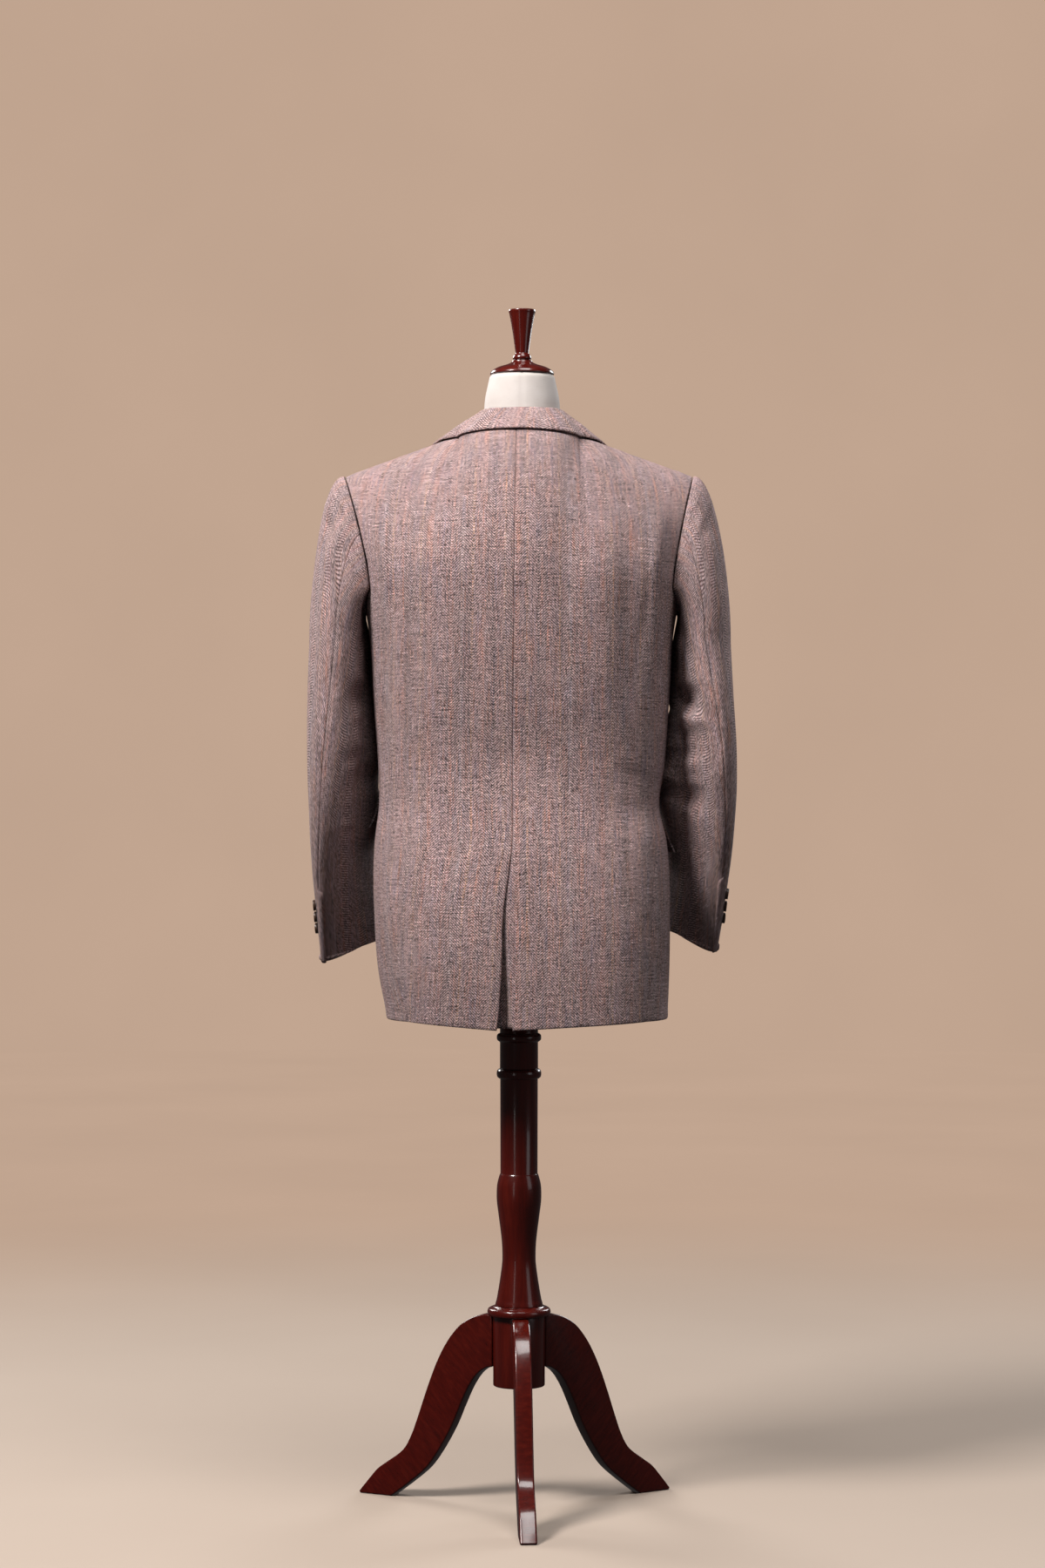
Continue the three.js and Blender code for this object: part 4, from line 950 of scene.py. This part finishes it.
def turned(name, parts, node, material, x=0.0, soften=0.5):
    """A turned piece: its half outline is drawn point by point and spun round its axis."""
    centre = (AXIS + [x, 0, 0]) * MM
    line = [(centre[0] + r * MM, centre[1], z * MM) for r, z in smooth_profile(parts)]
    obj = outline_object(name, line[0], steps_of(line))
    bpy.ops.mesh.select_all(action="SELECT")
    bpy.ops.mesh.spin(steps=72, angle=2 * math.pi, center=tuple(centre), axis=(0, 0, 1))
    bpy.ops.mesh.select_all(action="SELECT")
    bpy.ops.mesh.remove_doubles(threshold=0.00002)
    bpy.ops.mesh.normals_make_consistent(inside=False)
    leave_edit()
    bevel = obj.modifiers.new("soft", "BEVEL")
    bevel.width = soften * MM
    bevel.segments = 3
    bevel.angle_limit = math.radians(34)
    apply_modifiers(obj)
    finish_hard(obj, node, material)
    return obj


def finish_hard(obj, node, material):
    select_only(obj)
    bpy.ops.object.transform_apply(location=True, rotation=True, scale=True)
    bpy.ops.object.shade_smooth_by_angle(angle=math.radians(35))
    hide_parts(node)
    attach(obj, "root")
    obj.data.materials.append(MATERIALS[material])


FINIAL = [
    ("corners", [(0, 1474.3), (9.6, 1474.3)]),
    ("curve", [(10.6, 1474.8), (12, 1477.4), (10.9, 1480.8), (8.75, 1483.2), (8.9, 1486), (9.6, 1492),
               (12.4, 1512), (15.8, 1531), (17.3, 1537.2)]),
    ("curve", [(17.3, 1537.2), (17.2, 1538.8), (16, 1539.6), (8, 1540), (0, 1540)]),
]
NECK_CAP = [
    ("corners", [(0, 1455.9), (40, 1455.9)]),
    ("curve", [(40, 1455.9), (41, 1456.7), (40.8, 1458.2), (38.6, 1461.2), (31, 1465.4), (21, 1468.6),
               (14.6, 1471.4), (13, 1474)]),
    ("corners", [(13, 1474), (0, 1474)]),
]
COLUMN_TOP = [
    ("corners", [(0, 564.3), (24.5, 564.3), (24.5, 598.6), (26, 599.4)]),
    ("curve", [(26, 599.4), (28.2, 601.6), (28.6, 604.6), (28.2, 607.4), (26.4, 609.4)]),
    ("corners", [(24.5, 610), (24.5, 673.5), (0, 673.5)]),
]
COLUMN_TURNED = [
    ("corners", [(0, 260.3), (30.6, 260.3)]),
    ("curve", [(30.6, 260.3), (30, 264), (28.4, 270), (25, 290), (22, 312), (21.4, 325), (22.4, 345),
               (26, 374), (28.3, 392), (28.75, 404), (28, 416), (25.4, 426.4), (23.9, 430)]),
    ("corners", [(23.9, 430), (24.2, 551.5), (26, 552)]),
    ("curve", [(26, 552), (28, 554), (28.7, 557.8), (28.2, 561.4), (26.6, 563.6)]),
    ("corners", [(26.2, 564), (0, 564)]),
]
BASE_MOULDING = [
    ("corners", [(0, 247.3), (37.2, 247.3)]),
    ("curve", [(37.2, 247.3), (39.8, 248.8), (40.7, 252.4), (39.6, 256), (36.8, 257.8)]),
    ("curve", [(36.8, 257.8), (34, 258.4), (32, 260)]),
    ("corners", [(32, 260), (0, 260)]),
]
HUB = [("corners", [(0, 157), (32.2, 157), (33.25, 158.2), (33.25, 247), (0, 247)])]

LEG_THICK = 21.5
LEG_TURN = 3
LEG_OUTER = [
    (33.6, 247), (46, 246.6), (63, 241.5), (81.5, 230), (100, 208), (115.7, 179.5), (129.7, 145),
    (142, 110.7), (153, 82.4), (165.4, 62), (187, 46), (202.5, 35), (216.6, 19.5), (230.5, 3), (230, 0),
]
LEG_INNER = [
    (182.5, 0), (156, 19.6), (131, 40.6), (112.6, 65), (94, 96.6), (80, 127.4), (69, 150), (56.7, 167.7),
    (44, 177), (33.6, 179.5),
]


def leg(node, turn):
    """A leg board: its outline is drawn, filled, extruded to its thickness and rounded at the edges."""
    outer = smooth_profile([("curve", LEG_OUTER[:-1]), ("corners", LEG_OUTER[-1:])], fine=4)
    inner = smooth_profile([("curve", LEG_INNER)], fine=4)
    line = [((AXIS[0] + r) * MM, (AXIS[1] - LEG_THICK / 2) * MM, z * MM) for r, z in outer + inner]
    obj = outline_object("wood_" + node, line[0], steps_of(line))
    bpy.ops.mesh.select_all(action="SELECT")
    bpy.ops.mesh.edge_face_add()
    bpy.ops.mesh.extrude_region_move(TRANSFORM_OT_translate={"value": (0, LEG_THICK * MM, 0)})
    bpy.ops.mesh.select_all(action="SELECT")
    bpy.ops.mesh.normals_make_consistent(inside=False)
    leave_edit()
    bevel = obj.modifiers.new("round", "BEVEL")
    bevel.width = 5.2 * MM
    bevel.segments = 5
    bevel.limit_method = "ANGLE"
    bevel.angle_limit = math.radians(50)
    bevel.use_clamp_overlap = True
    apply_modifiers(obj)
    select_only(obj)
    bpy.ops.object.mode_set(mode="EDIT")
    bpy.ops.mesh.select_all(action="SELECT")
    centre = tuple(AXIS * MM)
    bpy.ops.transform.rotate(value=-math.radians(90 + turn), orient_axis="Z", center_override=centre)
    leave_edit()
    finish_hard(obj, node, "wood_board")


class Value:
    """A shader socket that can be written in expressions, adding Math nodes."""

    def __init__(self, tree, socket):
        self.tree = tree
        self.socket = socket

    def math(self, operation, *inputs):
        node = self.tree.nodes.new("ShaderNodeMath")
        node.operation = operation
        for slot, value in zip(node.inputs, (self, *inputs)):
            if isinstance(value, Value):
                self.tree.links.new(value.socket, slot)
            else:
                slot.default_value = value
        return Value(self.tree, node.outputs[0])

    def __add__(self, other):
        return self.math("ADD", other)

    def __sub__(self, other):
        return self.math("SUBTRACT", other)

    def __rsub__(self, other):
        return (self * -1).math("ADD", other)

    def __mul__(self, other):
        return self.math("MULTIPLY", other)

    def __truediv__(self, other):
        return self.math("DIVIDE", other)

    __radd__ = __add__
    __rmul__ = __mul__

    def floor(self):
        return self.math("FLOOR")

    def part(self):
        return self.math("FRACT")

    def size(self):
        return self.math("ABSOLUTE")

    def wave(self):
        return (self * (2 * math.pi)).math("SINE")

    def at_least(self, other):
        return self.math("MAXIMUM", other)

    def step(self, low, high):
        node = self.tree.nodes.new("ShaderNodeMapRange")
        node.interpolation_type = "SMOOTHSTEP"
        self.tree.links.new(self.socket, node.inputs["Value"])
        node.inputs["From Min"].default_value = low
        node.inputs["From Max"].default_value = high
        return Value(self.tree, node.outputs["Result"])


class Finish:
    """A new material with its shader and short ways to add nodes."""

    def __init__(self, name):
        self.material = bpy.data.materials.new(name)
        self.material.use_nodes = True
        self.tree = self.material.node_tree
        self.shader = self.tree.nodes["Principled BSDF"]

    def node(self, kind, settings=None, output=0, **inputs):
        node = self.tree.nodes.new(kind)
        for key, value in (settings or {}).items():
            setattr(node, key, value)
        for key, value in inputs.items():
            self.feed(node.inputs[key.replace("_", " ")], value)
        return Value(self.tree, node.outputs[output])

    def feed(self, slot, value):
        if isinstance(value, Value):
            self.tree.links.new(value.socket, slot)
        else:
            slot.default_value = value

    def set(self, **inputs):
        for key, value in inputs.items():
            self.feed(self.shader.inputs[key.replace("_", " ")], value)

    def vector(self, x, y, z=0.0):
        return self.node("ShaderNodeCombineXYZ", X=x, Y=y, Z=z)

    def noise(self, vector, scale, detail=2.0, roughness=0.5):
        return self.node("ShaderNodeTexNoise", Vector=vector, Scale=scale, Detail=detail,
                         Roughness=roughness)

    def colours(self, factor, first, second, way="MIX"):
        node = self.tree.nodes.new("ShaderNodeMix")
        node.data_type = "RGBA"
        node.blend_type = way
        for slot, value in zip((node.inputs[0], node.inputs[6], node.inputs[7]), (factor, first, second)):
            self.feed(slot, (*value, 1.0) if isinstance(value, tuple) else value)
        return Value(self.tree, node.outputs[2])

    def ramp(self, factor, stops, way="LINEAR"):
        node = self.tree.nodes.new("ShaderNodeValToRGB")
        node.color_ramp.interpolation = way
        while len(node.color_ramp.elements) < len(stops):
            node.color_ramp.elements.new(1.0)
        for element, (place, colour) in zip(node.color_ramp.elements, stops):
            element.position = place
            element.color = (*colour, 1.0)
        self.feed(node.inputs[0], factor)
        return Value(self.tree, node.outputs[0])

    def bump(self, height, distance, strength=1.0, normal=None):
        extra = {"Normal": normal} if normal else {}
        return self.node("ShaderNodeBump", Height=height, Distance=distance, Strength=strength, **extra)

    def place(self, name):
        socket = self.tree.nodes.new("ShaderNodeTexCoord").outputs[name]
        split = self.tree.nodes.new("ShaderNodeSeparateXYZ")
        self.tree.links.new(socket, split.inputs[0])
        return Value(self.tree, socket), [Value(self.tree, out) for out in split.outputs]


# The weave: one herringbone repeat, the threads of a two and two twill, and its accent warps
HERRINGBONE = 0.0272
THREAD = 0.00085
CHART_REPEATS = 4
CREAM = (0.66, 0.525, 0.51)
SOFT_CREAM = (0.34, 0.228, 0.222)
BLUE_GREY = (0.36, 0.315, 0.35)
DARK_WARP = (0.058, 0.026, 0.027)
MAUVE_WARP = (0.15, 0.073, 0.078)
RUST = (0.29, 0.09, 0.048)
OCHRE = (0.37, 0.19, 0.075)
GREY = (0.17, 0.155, 0.17)
LILAC = (0.2, 0.13, 0.165)
INK = (0.024, 0.015, 0.018)
CHART = [
    (0.0, RUST), (0.032, DARK_WARP), (0.11, OCHRE), (0.135, MAUVE_WARP), (0.225, INK), (0.268, DARK_WARP),
    (0.355, RUST), (0.388, MAUVE_WARP), (0.485, OCHRE), (0.508, DARK_WARP), (0.6, GREY), (0.64, DARK_WARP),
    (0.73, RUST), (0.765, INK), (0.79, MAUVE_WARP), (0.855, LILAC), (0.885, MAUVE_WARP), (0.98, RUST),
]


def tweed():
    finish = Finish("herringbone_tweed")
    _, (u, v, _) = finish.place("UV")
    def field(across, along, detail=2.0):
        """Noise with so many waves a metre across and along the cloth."""
        return finish.noise(finish.vector(u * across, v * along), 1.0, detail)
    u2 = u + (field(60, 14) - 0.5) * 0.0009
    v2 = v + (field(20, 40) - 0.5) * 0.0016
    column = ((u2 / HERRINGBONE).part() - 0.5).size() * HERRINGBONE
    order = (((column / THREAD).floor() + (v2 / THREAD).floor()) / 4 + 0.001).part()
    warp_up = (order - 0.495).step(-0.02, 0.02)
    over_u = ((column / THREAD).part() - 0.5).size() * 2
    over_v = ((v2 / THREAD).part() - 0.5).size() * 2
    slub = field(90, 1150, 3.0)
    strand = field(1150, 34, 3.0)
    streak = field(330, 4.0, 3.0)
    mixed = u2 + (field(760, 60) - 0.5) * 0.0042
    warp = finish.ramp((mixed / (HERRINGBONE * CHART_REPEATS)).part(), CHART, "CONSTANT")
    warp = finish.colours((streak - 0.5).step(-0.1, 0.14) * 0.55, warp, MAUVE_WARP)
    warp = finish.colours((strand - 0.5).step(-0.16, 0.2) * 0.7, warp, INK)
    warp = finish.colours((field(1900, 420) - 0.6).step(0, 0.12) * 0.5, warp, CREAM)
    weft = finish.colours((slub - 0.5).step(-0.2, 0.2), SOFT_CREAM, CREAM)
    weft = finish.colours((field(260, 26) - 0.5).step(0, 0.18) * 0.5, weft, BLUE_GREY)
    cloth = finish.colours(warp_up, weft, warp)
    upright, level = field(590, 36), field(30, 590)
    grain = field(430, 430, 3.0)
    shade = field(46, 7, 3.0)
    tone = 0.9 + (upright - 0.5) * 1.2 + (level - 0.5) * 1.5
    tone = (tone + (grain - 0.5) * 3.8 + (shade - 0.5) * 0.4 + (streak - 0.5) * 0.3).at_least(0.1)
    cloth = finish.colours(1.0, cloth, finish.vector(tone * 1.01, tone * 0.975, tone * 0.975), "MULTIPLY")
    warm = (field(560, 14, 3.0) - 0.55).step(0, 0.1)
    cool = (field(480, 13, 3.0) - 0.54).step(0, 0.1)
    cloth = finish.colours(warm * 0.6, cloth, (1.22, 0.85, 0.63), "MULTIPLY")
    cloth = finish.colours(cool * 0.6, cloth, (0.8, 0.88, 1.06), "MULTIPLY")
    long_slub = (field(38, 900) - 0.66).step(0, 0.08)
    cloth = finish.colours(long_slub * 0.45, cloth, CREAM)
    nep = (field(170, 640, 1.0) - 0.76).step(0, 0.03)
    cloth = finish.colours(nep * 0.85, cloth, (0.84, 0.77, 0.72))
    round_yarn = warp_up * (1 - over_u * over_u) + (1 - warp_up) * (1 - over_v * over_v)
    height = round_yarn * 0.7 + field(2600, 2600, 3.0) * 0.55 + slub * 0.3
    finish.set(Base_Color=cloth, Roughness=0.92, Sheen_Weight=0.12, Sheen_Roughness=0.6,
               Sheen_Tint=(0.9, 0.78, 0.76, 1), Specular_IOR_Level=0.2,
               Normal=finish.bump(height, 0.0006, 0.8))
    return finish.material


def form_cover():
    finish = Finish("cream_jersey")
    place, (x, y, z) = finish.place("Object")
    turn = x.math("ARCTAN2", y - (AXIS[1] * MM))
    rib = (turn * 95).wave() * 0.5 + (z * 1500).wave() * 0.5
    cloud = finish.noise(place, 22.0, 4.0)
    fuzz = finish.noise(place, 1500.0, 3.0)
    slub = finish.noise(finish.vector(turn * 9, z * 420), 1.0, 3.0)
    cream = finish.colours((cloud - 0.5).step(-0.25, 0.3), (0.5, 0.45, 0.42), (0.58, 0.535, 0.51))
    cream = finish.colours((slub - 0.58).step(0, 0.2) * 0.35, cream, (0.43, 0.38, 0.345))
    height = rib * 0.25 + fuzz * 0.6 + slub * 0.4
    finish.set(Base_Color=cream, Roughness=0.86, Sheen_Weight=0.2, Sheen_Roughness=0.5,
               Specular_IOR_Level=0.3, Normal=finish.bump(height, 0.0003, 0.6))
    return finish.material


def mahogany(name, board):
    """Dark red varnished wood: the grain runs up a turned piece, or along a leg's board."""
    finish = Finish(name)
    place, (x, y, z) = finish.place("Object")
    from_x, from_y = x - AXIS[0] * MM, y - AXIS[1] * MM
    radius = (from_x * from_x + from_y * from_y).math("SQRT")
    turn = from_x.math("ARCTAN2", from_y)
    if board:
        fibre = finish.vector(radius * 36 + z * 34, (radius - z) * 150, turn * 12)
        pores = finish.vector(radius * 180 + z * 170, (radius - z) * 1500, turn * 60)
    else:
        fibre = finish.vector(turn * 3.2, radius * 90, z * 9)
        pores = finish.vector(turn * 48, radius * 900, z * 45)
    figure = finish.noise(fibre, 1.0, 6.0, 0.62)
    pore = finish.noise(pores, 1.0, 3.0, 0.6)
    wood = finish.ramp(figure, [(0.2, (0.033, 0.0019, 0.0009)), (0.5, (0.06, 0.0032, 0.0015)),
                                (0.8, (0.094, 0.0075, 0.0032))])
    wood = finish.colours((pore - 0.56).step(0, 0.12) * 0.4, wood, (0.02, 0.0018, 0.0009))
    smear = finish.noise(place, 30.0, 3.0)
    finish.set(Base_Color=wood, Roughness=0.24 + (pore - 0.5) * 0.06 + (smear - 0.5) * 0.08,
               Specular_IOR_Level=0.35, Coat_Weight=0.38 + (smear - 0.5) * 0.2,
               Normal=finish.bump(pore * 0.6 + figure * 0.4, 0.00008, 0.25))
    finish.shader.inputs["Coat Roughness"].default_value = 0.07
    return finish.material


def button_horn():
    finish = Finish("button")
    place, _ = finish.place("Object")
    swirl = finish.noise(place, 420.0, 5.0, 0.6)
    fleck = finish.noise(place, 1500.0, 2.0)
    horn = finish.ramp(swirl, [(0.3, (0.018, 0.009, 0.006)), (0.5, (0.045, 0.022, 0.014)),
                               (0.72, (0.1, 0.056, 0.036))])
    horn = finish.colours((fleck - 0.64).step(0, 0.08) * 0.5, horn, (0.2, 0.13, 0.09))
    finish.set(Base_Color=horn, Roughness=0.34 + (swirl - 0.5) * 0.2,
               Normal=finish.bump(fleck, 0.00008, 0.4))
    return finish.material


def thread_finish():
    finish = Finish("thread")
    place, _ = finish.place("Object")
    twist = finish.noise(place, 2400.0, 2.0)
    colour = finish.colours(twist, (0.05, 0.03, 0.026), (0.13, 0.085, 0.075))
    finish.set(Base_Color=colour, Roughness=0.8, Normal=finish.bump(twist, 0.0001, 0.6))
    return finish.material


MATERIALS = {
    "tweed": tweed(),
    "form_cover": form_cover(),
    "wood": mahogany("mahogany_turned", False),
    "wood_board": mahogany("mahogany_board", True),
    "button": button_horn(),
    "thread": thread_finish(),
}

FRONT_BUTTON = {"radius": 10.5, "thick": 4.0, "seat": 0.62, "heights": (930, 830)}
CUFF_BUTTON = {
    "radius": 7.0, "thick": 3.4, "seat": -0.4, "count": 3, "first": 44, "pitch": 15.5, "angle": 62,
}


def button_model(size):
    """A four hole button, face up: rim, dished middle, holes and crossed thread."""
    radius, thick = size["radius"] * MM, size["thick"] * MM
    bpy.ops.object.select_all(action="DESELECT")
    bpy.ops.mesh.primitive_cylinder_add(vertices=48, radius=radius, depth=thick, location=(0, 0, 0))
    body = bpy.context.object
    bpy.ops.object.mode_set(mode="EDIT")
    bpy.ops.mesh.select_all(action="DESELECT")
    bpy.ops.mesh.select_mode(type="FACE")
    leave_edit()
    for face in body.data.polygons:
        face.select = face.normal.z > 0.9
    bpy.ops.object.mode_set(mode="EDIT")
    bpy.ops.mesh.inset(thickness=radius * 0.2, depth=0)
    bpy.ops.mesh.inset(thickness=radius * 0.09, depth=-thick * 0.26)
    leave_edit()
    bevel = body.modifiers.new("rim", "BEVEL")
    bevel.width = thick * 0.2
    bevel.segments = 4
    bevel.angle_limit = math.radians(40)
    apply_modifiers(body)
    reach = radius * 0.26
    for x in (-reach, reach):
        for y in (-reach, reach):
            bpy.ops.mesh.primitive_cylinder_add(vertices=20, radius=radius * 0.12, depth=thick * 2,
                                                location=(x, y, 0))
            drill = bpy.context.object
            cut = body.modifiers.new("hole", "BOOLEAN")
            cut.operation = "DIFFERENCE"
            cut.object = drill
            cut.solver = "EXACT"
            apply_modifiers(body)
            bpy.data.objects.remove(drill)
    threads = []
    for turn in (math.radians(45), math.radians(-45)):
        bpy.ops.object.select_all(action="DESELECT")
        bpy.ops.mesh.primitive_cylinder_add(vertices=12, radius=radius * 0.075, depth=reach * 2.7,
                                            location=(0, 0, thick * (0.28 if turn > 0 else 0.36)),
                                            rotation=(math.pi / 2, 0, turn))
        threads.append(bpy.context.object)
    for strand in threads:
        strand.data.materials.append(MATERIALS["thread"])
    body.data.materials.append(MATERIALS["button"])
    bpy.ops.object.select_all(action="DESELECT")
    for obj in (*threads, body):
        obj.select_set(True)
    bpy.context.view_layer.objects.active = body
    bpy.ops.object.join()
    bpy.ops.object.shade_smooth_by_angle(angle=math.radians(35))
    bpy.ops.object.transform_apply(location=True, rotation=True, scale=True)
    return body


def place_button(name, model, size, point, normal):
    obj = model.copy()
    obj.data = model.data.copy()
    obj.name = "sewn_" + name
    bpy.context.scene.collection.objects.link(obj)
    centre = (point + normal * (size["seat"] + size["thick"] / 2) + AXIS) * MM
    turn = Vector(normal).to_track_quat("Z", "Y").to_matrix().to_4x4()
    obj.data.transform(Matrix.Translation(Vector(centre)) @ turn)
    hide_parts(name)
    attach(obj, "root")


def buttons():
    model = button_model(FRONT_BUTTON)
    surface = lambda a, r: front_plain(LEFT, a, r)
    for i, z in enumerate(FRONT_BUTTON["heights"]):
        row = np.array((z - HEM_FRONT) / (SCYE - HEM_FRONT))
        one = np.array(1.0)
        normal = normal_of(surface, one, row, -1)
        point = surface(one, row) + normal * CF_LAP
        place_button(f"front_button_{i + 1}", model, FRONT_BUTTON, point, normal)
    bpy.data.objects.remove(model)
    model = button_model(CUFF_BUTTON)
    for side in (LEFT, RIGHT):
        for i in range(CUFF_BUTTON["count"]):
            z = np.array(CUFF[side] + CUFF_BUTTON["first"] + i * CUFF_BUTTON["pitch"])
            at = np.array(float(CUFF_BUTTON["angle"]))
            across = ring_point(side, at + 1, z) - ring_point(side, at - 1, z)
            down = ring_point(side, at, z - 1) - ring_point(side, at, z + 1)
            normal = unit(np.cross(down, across)) * side
            point = ring_point(side, at, z)
            place_button(f"cuff_button_{NAME[side]}_{i + 1}", model, CUFF_BUTTON, point, normal)
    bpy.data.objects.remove(model)


# Camera at the photograph's place: level, behind the coat, a long lens
CAMERA = {"x": -4.5, "y": 4600.0, "z": 930.0, "focal_px": 4108.0, "long_side_px": 1800.0, "sensor": 36.0}


def camera():
    data = bpy.data.cameras.new("camera")
    data.sensor_width = CAMERA["sensor"]
    data.lens = CAMERA["focal_px"] / CAMERA["long_side_px"] * CAMERA["sensor"]
    data.clip_end = 60
    obj = bpy.data.objects.new("camera", data)
    obj.location = (AXIS + [CAMERA["x"], CAMERA["y"], CAMERA["z"]]) * MM
    obj.rotation_euler = (math.radians(90), 0, math.radians(180))
    bpy.context.scene.collection.objects.link(obj)
    bpy.context.scene.camera = obj


# Lights: name, place in metres, power, width and height, colour
LIGHTS = [
    ("key", (2.0, 1.8, 3.6), 230, (1.1, 1.1), (1.0, 0.965, 0.94)),
    ("side", (-2.6, 1.5, 1.5), 8, (1.1, 2.0), (0.98, 0.97, 1.0)),
    ("strip", (1.5, 2.9, 0.9), 2.5, (0.2, 1.6), (1.0, 0.97, 0.95)),
    ("top", (-0.3, 1.0, 3.6), 55, (1.2, 1.2), (1.0, 0.98, 0.96)),
    ("front_left", (2.6, -3.4, 2.8), 105, (1.6, 1.6), (1.0, 0.97, 0.94)),
    ("front_right", (-2.4, -3.2, 2.4), 65, (1.6, 1.6), (0.97, 0.98, 1.0)),
]
WALL = (0.5, 0.352, 0.262)


def lights():
    aim = Vector((0, 0, 1.05))
    for name, place, power, (wide, tall), colour in LIGHTS:
        data = bpy.data.lights.new(name, "AREA")
        data.shape = "RECTANGLE"
        data.size, data.size_y = wide, tall
        data.energy = power
        data.color = colour
        obj = bpy.data.objects.new(name, data)
        obj.location = place
        obj.rotation_euler = (aim - Vector(place)).to_track_quat("-Z", "Y").to_euler()
        bpy.context.scene.collection.objects.link(obj)
    world = bpy.data.worlds.new("studio")
    world.use_nodes = True
    world.node_tree.nodes["Background"].inputs[0].default_value = (0.95, 0.92, 0.9, 1)
    world.node_tree.nodes["Background"].inputs[1].default_value = 0.06
    bpy.context.scene.world = world
    bpy.context.scene.view_settings.view_transform = "Standard"


STUDIO_RADIUS = 8.0
STUDIO_HEIGHT = 9.0


def studio_paint():
    """Plain pale paint that is lit near the stand and even further out."""
    finish = Finish("studio_paint")
    place, (x, y, z) = finish.place("Object")
    mottle = finish.noise(place, 1.3, 5.0)
    far = (x * x + y * y + z * z).math("SQRT").step(1.2, 3.4)
    finish.set(Base_Color=finish.colours(mottle, (0.37, 0.295, 0.24), (0.42, 0.34, 0.28)), Roughness=0.8)
    paler = tuple(1.12 * c for c in WALL)
    glow = finish.node("ShaderNodeEmission", Color=finish.colours(mottle, WALL, paler))
    both = finish.tree.nodes.new("ShaderNodeMixShader")
    finish.feed(both.inputs[0], far)
    finish.tree.links.new(finish.shader.outputs[0], both.inputs[1])
    finish.tree.links.new(glow.socket, both.inputs[2])
    finish.tree.links.new(both.outputs[0], finish.tree.nodes["Material Output"].inputs["Surface"])
    return finish.material


def studio():
    paint = studio_paint()
    bpy.ops.object.select_all(action="DESELECT")
    bpy.ops.mesh.primitive_circle_add(vertices=96, radius=STUDIO_RADIUS, fill_type="NGON",
                                      location=(0, 0, 0))
    ground = bpy.context.object
    ground.name = "floor"
    bpy.ops.object.select_all(action="DESELECT")
    bpy.ops.mesh.primitive_cylinder_add(vertices=96, radius=STUDIO_RADIUS, depth=STUDIO_HEIGHT,
                                        end_fill_type="NOTHING", location=(0, 0, STUDIO_HEIGHT / 2))
    wall_round = bpy.context.object
    wall_round.name = "backdrop"
    for obj in (ground, wall_round):
        obj.data.materials.append(paint)
        obj.visible_diffuse = False
        obj.visible_glossy = False
    wall_round.visible_shadow = False


camera()
lights()
studio()
for side in (LEFT, RIGHT):
    back_panel(side)
    side_body(side)
    front_panel(side)
    lapel(side)
    sleeve(side)
    pocket_flap(side)
vent_underlap()
collar()
buttons()
dress_form()
turned("wood_finial", FINIAL, "finial", "wood", NECK_LEAN)
turned("wood_neck_cap", NECK_CAP, "neck_cap", "wood", NECK_LEAN)
turned("wood_column_top", COLUMN_TOP, "column_top", "wood")
turned("wood_column_turned", COLUMN_TURNED, "column_turned", "wood")
turned("wood_base_moulding", BASE_MOULDING, "base_moulding", "wood")
turned("wood_hub", HUB, "hub", "wood")
leg("leg_back", LEG_TURN)
leg("leg_left", LEG_TURN - 120)
leg("leg_right", LEG_TURN + 120)
